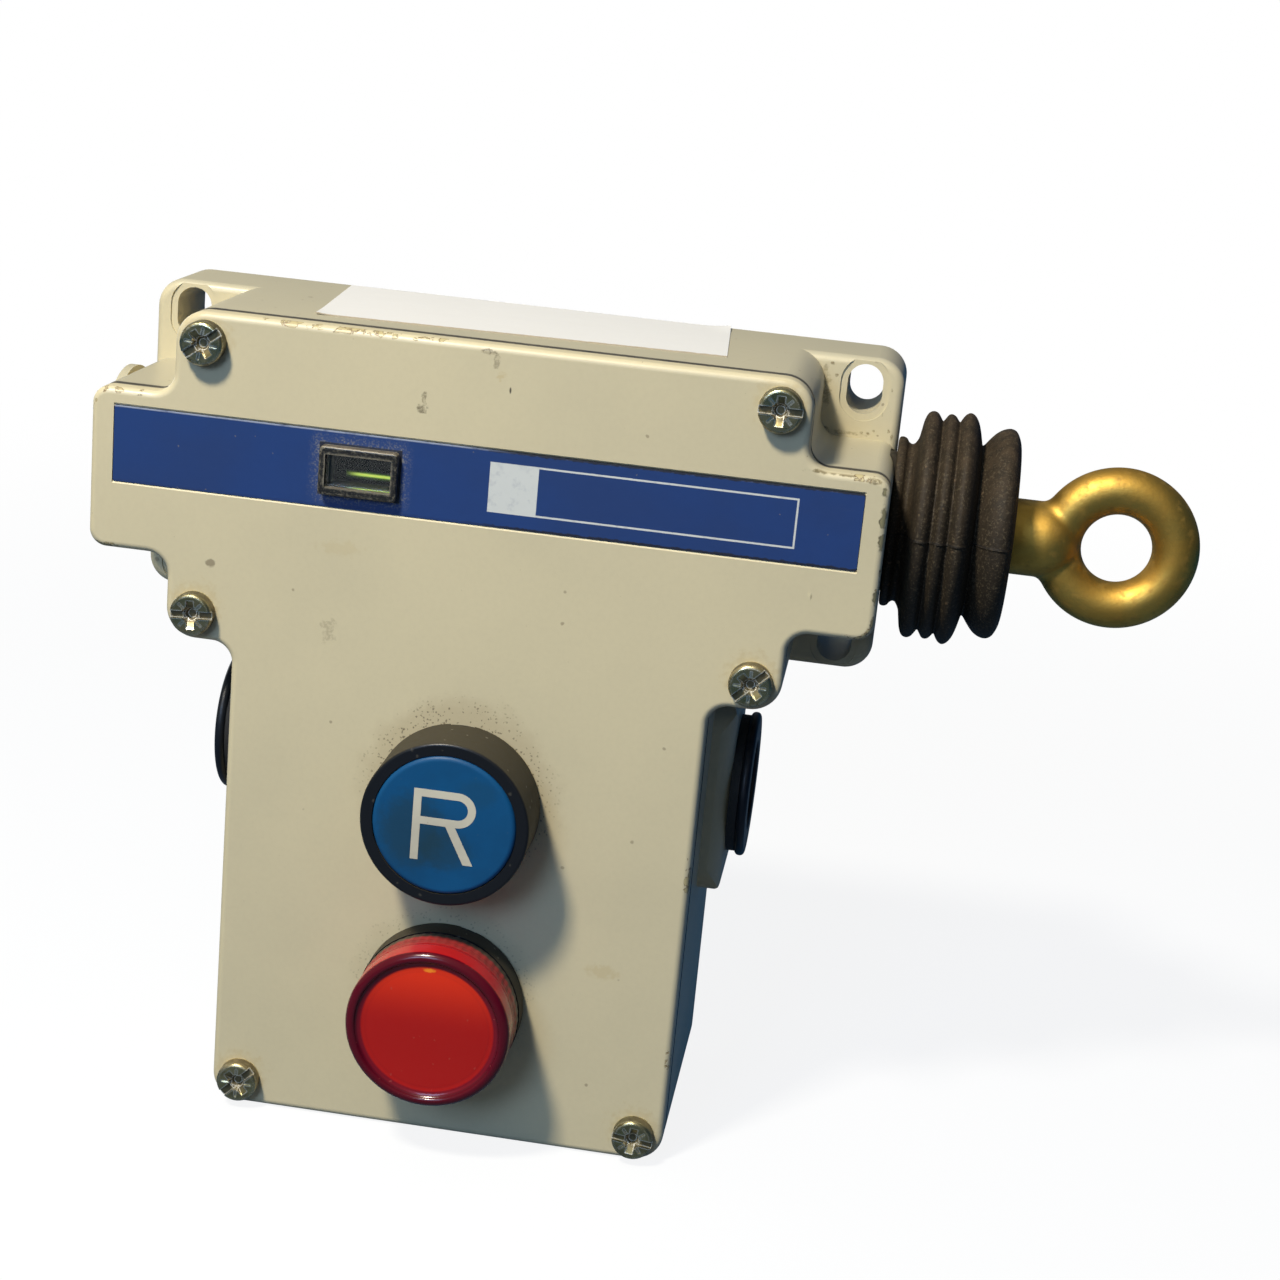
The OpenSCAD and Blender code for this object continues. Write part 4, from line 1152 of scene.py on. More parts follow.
# Brown grime specks on the right ear, and larger marks that paint shade into its corner by the wall and along
# the top of the arm.
EAR_GRIME_AND_SHADE = marks_at(*(
    (x, z, wide, high, share, EAR_BROWN, 2.6) for x, z, wide, high, share in (
        (54.3, 26.6, 0.4, 0.3, 0.8), (53.0, 25.0, 0.8, 2.2, 0.45), (53.8, 21.6, 0.9, 2.4, 0.5),
        (55.2, 24.5, 0.35, 0.35, 0.7), (63.9, 18.6, 0.2, 0.5, 0.7), (62.7, 15.5, 0.3, 0.3, 0.8),
        (61.9, 14.8, 0.45, 0.3, 0.8), (60.6, 14.9, 0.5, 0.3, 0.6), (65.3, 15.7, 0.35, 0.45, 0.8),
        (66.0, 14.9, 0.3, 0.7, 0.6), (57.0, 14.6, 6.0, 0.5, 0.45), (65.0, 23.0, 0.2, 0.4, 0.6),
        (50.9, 17.0, 1.6, 6.0, 0.65), (52.0, 14.9, 2.6, 1.0, 0.55))))
# The cover's edge at the gasket gets painted shade by depth, given by seam.
COVER_PAINT = CastPaint(
    "paint_cover",
    seam=(-44.8 * MM, -44.35 * MM),
    halos=((0.0, UNIT_Z["button"] + 1.7 * MM, 14.2 * MM, 19.0 * MM, 0.85),
           (0.0, UNIT_Z["lamp"] + 1 * MM, 14.4 * MM, 17.5 * MM, 0.4)),
    marks=(
        *marks_at(
            (-0.4, 27.0, 1.7, 0.5, 0.75, BROWN, 2.4),
            (1.0, 25.6, 0.7, 1.5, 0.45, BROWN, 2.6),
            (1.9, 23.4, 0.9, 1.1, 0.35, YELLOW_STAIN, 2.4),
            (-10.6, 17.6, 0.45, 1.9, 0.6, (0.11, 0.085, 0.04), 3.2),
            (-10.8, 16.3, 0.9, 0.9, 0.75, (0.09, 0.07, 0.035), 3.2),
            (3.6, 21.1, 0.22, 0.7, 0.9, (0.05, 0.04, 0.03), 0.6),
            (-23.5, -9.0, 4.5, 1.6, 0.18, YELLOW_STAIN, 2.2),
            (-24.5, -23.5, 1.6, 2.2, 0.28, BROWN, 3.0),
            (55.9, -6.6, 0.4, 0.9, 0.5, (0.72, 0.64, 0.40), 2.4),
            (56.3, -7.2, 0.2, 0.7, 0.5, BROWN, 2.4),
            (27.7, -79.2, 3.5, 1.6, 0.3, YELLOW_STAIN),
            (-45.5, -14.4, 1.0, 0.8, 0.6, BROWN),
            *((x, z + 1.2, 5.6, 5.0, 0.30, YELLOW_STAIN) for x, z in SCREW_PLACES)),
        *flakes((66.5, 7.2, 0.45, 2.0), (66.7, 3.4, 0.45, 1.6), (66.8, -6.1, 0.42, 1.2),
                (66.85, -10.7, 0.32, 1.1), (66.2, 11.6, 0.4, 0.7)),
        *marks_at(
            (58.5, 13.8, 5.5, 0.50, 0.85, BAKED_DUST, 2.2),
            (64.2, 13.1, 1.9, 0.55, 0.85, BAKED_DUST, 2.4),
            (64.6, -13.75, 1.6, 0.22, 0.9, BROWN, 2.4))),
    chips=chips_at(
        (-34, 28.1, 6.5, 1.5, 0.0), (-22, 28.0, 8.5, 1.8, 0.05), (-10, 28.2, 4.0, 1.2, 0.0),
        (-62, 13.2, 5.2, 1.8, 0.9), (-66.4, 10, 1.5, 3, 0.4), (-64.6, -13.8, 3.2, 1.8, 0.7),
        (66.9, -4, 2.4, 5.0, 0.5), (66.3, -12.5, 2.4, 2.4, 0.2), (61.5, 13.4, 4.6, 1.4, 0.1),
        (40.7, -94, 1.6, 3, 0.3), (64, -13.8, 2.4, 1.4, 0.2), (41, -60, 1.4, 4, 0.2)))
# The housing gets painted shade on faces that look up, in its joint with the gasket and round the spigot; its
# ears carry grime with painted shade in their corners.
HOUSING_PAINT = CastPaint("paint_housing", top_shade=(0.455, 0.42, 0.295), seam=(-42.2 * MM, -42.75 * MM),
                          chip_level=0.80, marks=EAR_GRIME_AND_SHADE, speckled=2.4, spigot_r=12.5 * MM)
BEZEL_BLACK = DustyRing("bezel_black")
WINDOW_BLACK = FrameMoulded("window_black", colour=(0.010, 0.0095, 0.0085), film=(0.17, 0.135, 0.08))
PLUG_BLACK = Moulded("plug_black", (0.0035, 0.006, 0.011), dust=0.08, rough=0.36, shine=0.30)
INNER_BLACK = Moulded("inner_black", (0.008, 0.008, 0.008), dust=0.05, rough=0.5, shine=0.08)
CAP_BLUE = Moulded(
    "cap_blue", (0.006, 0.078, 0.200), dust=0.05, rough=0.36, dust_colour=(0.06, 0.08, 0.08), shine=0.22,
    marks=(Mark(-5.2 * MM, UNIT_Z["button"] - 1.5 * MM, 7.5 * MM, 8.5 * MM, 0.62, (0.014, 0.042, 0.058), 0.5),
           Mark(0.4 * MM, UNIT_Z["button"] - 4.2 * MM, 6.0 * MM, 4.6 * MM, 0.55, (0.014, 0.042, 0.058), 0.5),
           Mark(5.5 * MM, UNIT_Z["button"] + 6.5 * MM, 4.5 * MM, 3.2 * MM, 0.25, (0.014, 0.050, 0.070), 0.5)))
BOOT_RUBBER = BootRubber(
    "boot_rubber", (0.022, 0.0160, 0.0090), dust=0.40, rough=0.60, specks=0.6, shine=0.22,
    dust_colour=(0.100, 0.066, 0.036), grain=1700, grain_depth=0.13 * MM)
FLAG_BLACK = Moulded("flag_black", (0.0020, 0.0020, 0.0018), dust=0.0, rough=0.6, shine=0.02, specks=0.0)
SEAL_RUBBER = Moulded("seal_rubber", (0.012, 0.012, 0.012), dust=0.1, rough=0.7)
INK_WHITE = Moulded("ink_white", (0.60, 0.56, 0.435), dust=0.0, rough=0.5, specks=0.5,
                    dust_colour=(0.15, 0.11, 0.06))
NYLON = Moulded("nylon_white", (0.62, 0.60, 0.52), dust=0.02, rough=0.4)
PAPER = PaperSheet("paper_white", start=(-32.4 * MM, -37.6 * MM), end=(37.2 * MM, -33.2 * MM))
MARK_GREEN = IndicatorInk("mark_green", (0.16, 0.36, 0.04), rough=0.4, shine=0.1)
SCREW_ZINC = Plated("screw_zinc", (0.52, 0.51, 0.40), (0.26, 0.34, 0.27), rough=0.17, patches=18,
                    dirt_share=0.5)
SCREW_HEADS = ScrewPlating("screw_heads", (0.55, 0.44, 0.22), (0.26, 0.25, 0.12), rough=0.26, patches=95,
                           dirt=(0.07, 0.065, 0.04))
PLAIN_STEEL = Plated("plain_steel", (0.52, 0.52, 0.53), (0.42, 0.42, 0.42), rough=0.38)
SPRING_STEEL = Plated("spring_steel", (0.40, 0.40, 0.42), (0.30, 0.30, 0.31), rough=0.32)
EYE_GOLD = Plated("eye_gold", (0.58, 0.365, 0.078), (0.47, 0.280, 0.055), rough=0.45, patches=170,
                  dirt=(0.075, 0.040, 0.012), dirt_share=0.34, grain_depth=0.03 * MM)
BRONZE = Plated("bush_bronze", (0.55, 0.38, 0.18), (0.42, 0.28, 0.12), rough=0.4)
CONTACT_BRASS = Plated("contact_brass", (0.66, 0.52, 0.24), (0.5, 0.38, 0.16), rough=0.3)
CLEAR = GlassClear("window_clear")
BULB_GLASS = GlassClear("bulb_glass", colour=(0.9, 0.9, 0.84))
LENS_RED = LensRed("lens_red", UNIT_Z["lamp"])
STRIP_BLUE = StripPrint("strip_blue")


# ---------------------------------------------------------------- sub-assemblies


@dataclass(frozen=True)
class Lamp:
    """A square soft lamp that looks at the middle of the object.

    side is the direction from the object towards it and far its distance; power is in watts, and
    size is the length of its side.
    """

    name: str
    side: Point
    far: float
    power: float
    size: float
    colour: Colour

    def hang(self, aim: Point) -> None:
        """Adds the lamp and turns it to the place aim."""
        data = bpy.data.lights.new(self.name, "AREA")
        data.energy, data.size, data.color = self.power, self.size, self.colour
        lamp = bpy.data.objects.new(self.name, data)
        towards = Vector(self.side).normalized()
        turn = (-towards).to_track_quat("-Z", "Y").to_matrix().to_4x4()
        lamp.matrix_world = Matrix.Translation(Vector(aim) + towards * self.far) @ turn
        bpy.context.scene.collection.objects.link(lamp)


@dataclass
class View:
    """Camera, floor, surroundings and lamps."""

    floor_z: float
    place: Point = (68.33 * MM, -418.79 * MM, 90.18 * MM)
    forward: Point = (-0.0938, 0.9550, -0.2815)
    up: Point = (-0.1255, 0.2692, 0.9549)
    lens: float = 65.28
    sensor: float = 36
    shift: tuple[float, float] = (-0.0142, 0.0055)
    aim: Point = (0.01, -0.045, -0.03)
    lamps: tuple[Lamp, ...] = (
        Lamp("key", (-0.30, -0.50, 0.81), 0.9, 10.8, 0.11, (1.0, 0.91, 0.76)),
        Lamp("fill", (-0.28, -0.87, 0.42), 1.2, 4.9, 0.40, (0.43, 0.63, 1.0)),
        Lamp("back", (-1.0, 0.9, 0.10), 1.2, 1.6, 0.60, (0.80, 0.90, 1.0)))
    floor_reach: float = 6.0
    floor_tone: Colour = (0.10, 0.105, 0.11)
    floor_bounce: Colour = (0.014, 0.065, 0.14)
    floor_white: float = 0.88
    floor_fade: tuple[float, float] = (0.10, 0.60)
    lighter_side: Point = (-0.75, -0.25, 0.55)
    light_dark: Colour = (0.008, 0.072, 0.25)
    light_pale: Colour = (0.11, 0.145, 0.17)
    gloss_dark: Colour = (0.009, 0.045, 0.11)
    gloss_pale: Colour = (0.30, 0.31, 0.29)

    def camera(self) -> None:
        """Puts the camera where the object is seen from."""
        data = bpy.data.cameras.new("camera")
        data.lens = self.lens
        data.sensor_width = self.sensor
        data.shift_x, data.shift_y = self.shift
        data.clip_start = 10 * MM
        forward = Vector(self.forward).normalized()
        right = forward.cross(Vector(self.up)).normalized()
        turn = Matrix((right, right.cross(forward), -forward)).transposed().to_4x4()
        camera = bpy.data.objects.new("camera", data)
        camera.matrix_world = Matrix.Translation(self.place) @ turn
        bpy.context.scene.collection.objects.link(camera)
        bpy.context.scene.camera = camera

    @staticmethod
    def ray_kinds(g: Graph) -> tuple[Socket, Socket]:
        """Whether a ray comes from the eye, also through glass, and whether it is a reflection."""
        rays = g.add("ShaderNodeLightPath").outputs
        return g.larger(rays["Is Camera Ray"], rays["Is Transmission Ray"]), rays["Is Glossy Ray"]

    def floor(self) -> None:
        """Wide pale floor: it keeps the object's shadow near by and ends in plain white far off."""
        reach = np.linspace(-self.floor_reach, self.floor_reach, 9)
        x, y = np.meshgrid(reach, reach, indexing="ij")
        piece = piece_from_grid("floor", np.stack([x, y, np.full_like(x, self.floor_z)], axis=-1))
        material = bpy.data.materials.new("floor_pale")
        material.use_nodes = True
        g = Graph(material.node_tree)
        shader = g.add("ShaderNodeBsdfPrincipled")
        across, along, _ = g.axes()
        away = g.rise(g.length(across, along), *self.floor_fade)
        g.feed(shader.inputs["Base Color"], g.mix(away, self.floor_tone, BLACK))
        shader.inputs["Roughness"].default_value = 1.0
        shader.inputs["Specular IOR Level"].default_value = 0.0
        seen, reflected = self.ray_kinds(g)
        g.feed(shader.inputs["Emission Color"], g.mix(seen, self.floor_bounce, WHITE))
        strength = g.level(away, self.floor_white, 1.0)
        g.feed(shader.inputs["Emission Strength"], g.product(g.larger(seen, reflected), strength))
        g.feed(g.add("ShaderNodeOutputMaterial").inputs[0], shader.outputs[0])
        piece.data.materials.append(material)

    def world(self) -> None:
        """Surroundings: white to the eye, dim in reflections, deep blue as light from the right."""
        world = bpy.data.worlds.new("surroundings")
        world.use_nodes = True
        bpy.context.scene.world = world
        g = Graph(world.node_tree)
        seen, reflected = self.ray_kinds(g)
        x, y, z = g.axes(g.add("ShaderNodeTexCoord").outputs["Generated"])
        by_x, by_y, by_z = self.lighter_side
        side = g.plus(g.product(x, by_x), g.plus(g.product(z, by_z), g.product(y, by_y)))
        light = g.mix(g.rise(side, -0.45, 0.6), self.light_dark, self.light_pale)
        gloss = g.mix(g.rise(side, -0.5, 0.6), self.gloss_dark, self.gloss_pale)
        light = g.mix(reflected, light, gloss)
        back = g.add("ShaderNodeBackground")
        g.feed(back.inputs["Color"], g.mix(seen, light, WHITE))
        g.feed(g.add("ShaderNodeOutputWorld").inputs[0], back.outputs[0])

    def build(self) -> None:
        """Camera first, then floor, surroundings and lamps."""
        bpy.context.scene.view_settings.view_transform = "Standard"
        self.camera()
        self.floor()
        self.world()
        for lamp in self.lamps:
            lamp.hang(self.aim)


@dataclass
class Box:
    """Housing, cover, gasket, screws, strip, window and the paper label on top."""

    top_z: float = 28.2 * MM
    label_corners: tuple[Point, ...] = (
        (-35.6 * MM, -0.6 * MM, 0.0), (34.7 * MM, -0.6 * MM, 0.0),
        (-32.4 * MM, -37.6 * MM, 0.0), (37.2 * MM, -33.2 * MM, 0.0))
    label_t: float = 0.12 * MM
    label_gap: float = 0.01 * MM
    lift_back: float = 0.5 * MM
    lift_front: float = 0.25 * MM
    ripple: float = 0.02 * MM

    def dress(self) -> None:
        """Paint, rubber, zinc, print and glass on the CAD nodes."""
        COVER_PAINT.dress("cover")
        HOUSING_PAINT.dress("housing", "end_cap")
        SEAL_RUBBER.dress("cover_gasket", "plug_seals")
        SCREW_HEADS.dress("cover_screws")
        STRIP_BLUE.dress("label_strip")
        WINDOW_BLACK.dress("window_frame")
        CLEAR.dress("window")

    @staticmethod
    def curl(away: np.ndarray, reach: float) -> np.ndarray:
        """1 at a corner, falling with the square of the way from it to 0 at reach."""
        return np.clip(reach - away, 0, 1) ** 2 / reach**2

    def paper_label(self) -> bpy.types.Object:
        """Blank paper label stuck on top: a bilinear sheet whose corners lift a little."""
        back_left, back_right, front_left, front_right = (np.array(c) for c in self.label_corners)
        u = np.linspace(0, 1, 61)[:, None, None]
        v = np.linspace(0, 1, 33)[None, :, None]
        back = (1 - u) * back_left + u * back_right
        front = (1 - u) * front_left + u * front_right
        flat = (1 - v) * back + v * front
        lift = self.lift_back * self.curl(1 - u, 0.07) * self.curl(v, 0.3)
        lift += self.lift_front * self.curl(u, 0.05) * self.curl(1 - v, 0.3)
        lift += self.ripple * (1 + np.sin(23 * u + 5 * v)) * np.sin(math.pi * v)
        low = flat + lift * np.array([0, 0, 1]) + np.array([0, 0, self.top_z + self.label_gap])
        high = low + np.array([0, 0, self.label_t])
        shell = np.concatenate([low, high[:, ::-1]], axis=1)
        piece = piece_from_grid("paper_label", shell, closed_columns=True)
        close_ends(piece)
        flat_at_edges(piece, 50)
        PAPER.dress(piece)
        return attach(piece, "root")

    def build(self) -> list[bpy.types.Object]:
        """Dresses the box and adds the paper label."""
        self.dress()
        return [self.paper_label()]


def close_ends(piece: bpy.types.Object) -> None:
    """Fills the two open ends of a tube made by piece_from_grid."""
    work = bmesh.new()
    work.from_mesh(piece.data)
    rims = [e for e in work.edges if e.is_boundary]
    bmesh.ops.holes_fill(work, edges=rims, sides=0)
    bmesh.ops.recalc_face_normals(work, faces=work.faces)
    work.to_mesh(piece.data)
    work.free()
    piece.data.shade_smooth()


@dataclass
class CablePlugs:
    """Blanking plugs in the two cable entries: a tube with a round-edged flange."""

    boss_x: float = 45.4 * MM
    axis_y: float = -18 * MM
    axis_z: float = -51.6 * MM
    tube_r: float = 10.18 * MM
    flange_r: float = 13.2 * MM
    bore_r: float = 8.0 * MM
    dish_r: float = 8.2 * MM
    end_x: float = -10.1 * MM
    web_x: float = -2.1 * MM
    back_x: float = 1.62 * MM
    dish_x: float = 2.4 * MM
    front_x: float = 3.38 * MM
    soft: float = 0.8 * MM
    lip: float = 0.35 * MM
    steps: int = 96

    def profile(self) -> np.ndarray:
        """Half section from the middle of the hollow end to the middle of the front recess.

        Returns:
            Array of (x from the boss, radius).
        """
        soft, lip = self.soft, self.lip
        tube = [[self.web_x, POLE], [self.web_x, self.bore_r], [self.end_x, self.bore_r],
                [self.end_x, self.tube_r], [self.back_x, self.tube_r],
                [self.back_x, self.flange_r - 1.1 * MM]]
        back = arc((self.back_x + soft, self.flange_r - soft), soft, 180, 90, 9)
        front = arc((self.front_x - soft, self.flange_r - soft), soft, 90, 0, 9)
        inner = arc((self.front_x - lip, self.dish_r + lip), lip, 0, -90, 6)
        dish = [[self.dish_x + 0.05 * MM, self.dish_r], [self.dish_x, self.dish_r - 0.2 * MM],
                [self.dish_x, POLE]]
        return np.vstack([tube, back, front, [[self.front_x, self.dish_r + 2 * MM]], inner, dish])

    def build(self) -> list[bpy.types.Object]:
        """Two surfaces of revolution round X, the left one mirrored, in one piece."""
        right = turned(self.profile(), (self.boss_x, self.axis_y, self.axis_z), "x", self.steps)
        faces = faces_of_grid(*right.shape[:2], False, True)
        right = right.reshape(-1, 3)
        left = right * np.array([-1, 1, 1])
        piece = piece_from_faces("cable_plug_shells", np.vstack([right, left]),
                                 np.vstack([faces, faces + len(right)]))
        flat_at_edges(piece, 40)
        PLUG_BLACK.dress(piece)
        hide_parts("cable_plugs")
        return [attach(piece, "root")]


@dataclass
class ResetButton:
    """Bezel, cap with its letter, and the parts behind them."""

    centre_z: float = UNIT_Z["button"]
    face_y: float = -59.70 * MM
    letter_left: float = -5.35 * MM
    letter_top: float = 6.2 * MM
    letter_height: float = 12.7 * MM
    stroke: float = 1.35 * MM
    bowl_right: float = 5.36 * MM
    bowl_r: float = 3.12 * MM
    leg_top: tuple[float, float] = (0.35 * MM, 2.0 * MM)
    leg_foot: tuple[float, float] = (-1.6 * MM, 0.1 * MM)
    ink_t: float = 0.06 * MM
    ink_sunk: float = 0.02 * MM

    def letter_loops(self) -> list[np.ndarray]:
        """Outline of a capital R and of its counter: straight strokes and a half-round bowl."""
        left, top = self.letter_left, self.centre_z + self.letter_top
        bottom, w, r = top - self.letter_height, self.stroke, self.bowl_r
        bowl = self.bowl_right - r
        mid = top - r
        outer = np.vstack([
            [[left, bottom], [left, top]],
            arc((bowl, mid), r, 90, -90, 25),
            [[self.leg_top[1], mid - r], [self.bowl_right + self.leg_foot[1], bottom],
             [self.bowl_right + self.leg_foot[0], bottom], [self.leg_top[0], mid - r],
             [left + w, mid - r], [left + w, bottom]],
        ])
        inner = np.vstack([
            [[left + w, mid - r + w], [left + w, top - w]],
            arc((bowl, mid), r - w, 90, -90, 21),
        ])
        return [outer, inner]

    def letter(self) -> bpy.types.Object:
        """The printed letter, a very thin plate on the cap."""
        y = self.face_y + self.ink_sunk
        piece = flat_outline("reset_letter", self.letter_loops(), y, self.ink_t)
        INK_WHITE.dress(piece)
        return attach(piece, "reset")

    def build(self) -> list[bpy.types.Object]:
        """Dresses the unit and prints its letter."""
        BEZEL_BLACK.dress("reset_bezel")
        INNER_BLACK.dress("reset_lock_nut")
        SEAL_RUBBER.dress("reset_seal")
        CAP_BLUE.dress("reset_cap")
        NYLON.dress("reset_stem")
        return [self.letter()]


@dataclass
class PilotLamp:
    """Fluted lens with a raised rim over its bulb, on a black foot."""

    centre_z: float = UNIT_Z["lamp"]
    back_y: float = -52.5 * MM
    front_y: float = -61.9 * MM
    radius: float = 14.4 * MM
    face_r: float = 11.6 * MM
    rim: float = 1.25 * MM
    rim_inside: float = 0.55 * MM
    wall_depths: tuple[float, float] = (0.35 * MM, 7.0 * MM)
    wave_depths: tuple[float, float] = (3.1 * MM, 5.0 * MM)
    wave_high: float = 0.07 * MM
    wave_wide: float = 0.22 * MM
    dome: float = 0.17 * MM
    flute_depth: float = 0.055 * MM
    flutes: int = 60
    steps: int = 360

    def profile(self) -> np.ndarray:
        """Half section from the middle of the back to the middle of the face.

        Returns:
            Array of (y, radius).
        """
        r, back, front = self.radius, self.back_y, self.front_y
        side = np.linspace(*self.wall_depths, 60)
        waves = self.wave_high * sum(np.exp(-(((side - w) / self.wave_wide) ** 2)) for w in self.wave_depths)
        wall = np.stack([back - side, r - waves], axis=1)
        crest = arc((front + self.rim, r - self.rim), self.rim, 90, 180, 14)
        inner = arc((front + self.rim_inside, r - self.rim), self.rim_inside, 180, 260, 10)
        share = np.linspace(1, 0, 16)
        sunk = front + 0.75 * MM - self.dome * (1 - share**2)
        face = np.stack([sunk, self.face_r * share], axis=1)
        start = [[back, POLE], [back, r - 0.35 * MM], [back - 0.1 * MM, r - 0.1 * MM]]
        return np.vstack([start, wall, crest, inner, face[:-1], [[face[-1, 0], POLE]]])

    def lens(self) -> bpy.types.Object:
        """Surface of revolution whose wall carries fine flutes behind the rim.

        A wall point moves inwards by flute_depth * (1 - sin(flutes * angle)), faded in and out
        along the wall.
        """
        profile = self.profile()
        grid = turned(profile, (0, 0, self.centre_z), "y", self.steps)
        t = np.linspace(0, 2 * math.pi, self.steps, endpoint=False)[None, :]
        place = (self.back_y - profile[:, :1]) / MM
        fade = np.clip(place / 0.5, 0, 1) * np.clip((4.6 - place) / 0.6, 0, 1)
        fade = fade * (profile[:, 1:] > self.radius - 0.5 * MM)
        grow = 1 + self.flute_depth * fade * (np.sin(self.flutes * t) - 1) / self.radius
        grid[..., 0] *= grow
        grid[..., 2] = (grid[..., 2] - self.centre_z) * grow + self.centre_z
        piece = piece_from_grid("pilot_lens", grid, closed_columns=True)
        LENS_RED.dress(piece)
        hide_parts("lamp_lens")
        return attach(piece, "root")

    def build(self) -> list[bpy.types.Object]:
        """Dresses the lamp and adds its lens."""
        BEZEL_BLACK.dress("lamp_bezel")
        SEAL_RUBBER.dress("lamp_seal")
        INNER_BLACK.dress("lamp_lock_nut", "lamp_holder")
        BULB_GLASS.dress("lamp_bulb")
        return [self.lens()]


@dataclass
class Boot:
    """Rubber bellows between the housing and the eye."""

    root_x: float = 67.25 * MM
    neck_x: float = 69.5 * MM
    held_x: tuple[float, float] = (69.4 * MM, 86.6 * MM)
    wall: float = 1.25 * MM
    spigot_r: float = 12.25 * MM
    shaft_r: float = 5.7 * MM
    seam_high: float = 0.22 * MM
    seam_from_r: float = 14.5 * MM
    wave_high: float = 0.05 * MM
    wave_from_r: float = 14 * MM
    steps: int = 132
    outline: tuple[tuple[float, float], ...] = (
        (67.3, 14.0), (67.5, 14.65), (68.1, 14.85), (68.75, 14.6), (69.15, 14.05), (69.7, 13.75),
        (70.2, 14.0), (70.75, 15.0), (71.0, 16.3), (71.35, 18.2), (71.9, 19.4), (72.7, 19.8),
        (73.5, 19.55), (74.1, 18.8), (74.5, 18.25), (74.9, 18.75), (75.4, 19.45), (75.95, 19.65),
        (76.6, 19.4), (77.1, 18.8), (77.45, 18.5), (77.85, 19.2), (78.4, 19.9), (79.1, 20.2),
        (79.9, 19.8), (80.6, 18.8), (81.1, 17.4), (81.45, 16.0), (81.75, 14.9), (82.15, 15.1),
        (82.9, 16.1), (83.9, 17.25), (85.0, 18.0), (86.2, 18.3), (87.2, 17.95), (87.85, 17.0),
        (88.3, 15.6), (88.5, 13.2), (88.6, 10.4), (88.65, 8.0), (88.6, 6.7))

    def profile(self) -> np.ndarray:
        """Closed section: the ribbed outside, then the inside a wall further in.

        Returns:
            Array of (x, radius) round the section.
        """
        outside = smooth_line(np.array(self.outline) * MM, 210)
        along = np.gradient(outside, axis=0)
        along /= np.linalg.norm(along, axis=1)[:, None]
        inward = np.stack([along[:, 1], -along[:, 0]], axis=1)
        inside = outside + inward * self.wall
        least = np.where(inside[:, 0] < self.neck_x, self.spigot_r, self.shaft_r)
        inside[:, 1] = np.maximum(inside[:, 1], least)
        inside[:, 0] = np.clip(inside[:, 0], self.root_x, None)
        return np.vstack([outside, inside[::-1]])

    def angles(self) -> np.ndarray:
        """Even angles round the axis, with closer ones at the two seam lines."""
        even = np.linspace(0, 2 * math.pi, self.steps, endpoint=False)
        near = np.array([-26, -18, -12, -8, -4, 0, 4, 8, 12, 18, 26]) * 1e-3
        lines = np.concatenate([half - BOOT_SEAM_TILT + near for half in (math.pi, 2 * math.pi)])
        apart = np.abs(even[:, None] - lines[None, :]).min(axis=1) > 0.008
        return np.sort(np.concatenate([even[apart], lines]) % (2 * math.pi))

    def build(self) -> list[bpy.types.Object]:
        """Ribbed rubber boot, with a fine seam line on its two sides."""
        middle = (0, *BOOT_AXIS)
        offset = turned(self.profile(), middle, "x", self.angles()) - np.array(middle)
        radius = np.hypot(offset[..., 1], offset[..., 2])
        angle = np.arctan2(offset[..., 2], offset[..., 1])
        seam = np.exp(-((np.sin(angle + BOOT_SEAM_TILT) / 0.010) ** 2)) * (radius > self.seam_from_r)
        wave = np.sin(3 * angle + 900 * offset[..., 0]) * (radius > self.wave_from_r)
        grow = 1 + (self.seam_high * seam + self.wave_high * wave) / radius
        offset[..., 1:] *= grow[..., None]
        piece = piece_from_grid("bellows_boot", offset + np.array(middle),
                                closed_rows=True, closed_columns=True)
        BOOT_RUBBER.dress(piece)
        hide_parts("bellows")
        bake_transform(piece)
        return [piece]


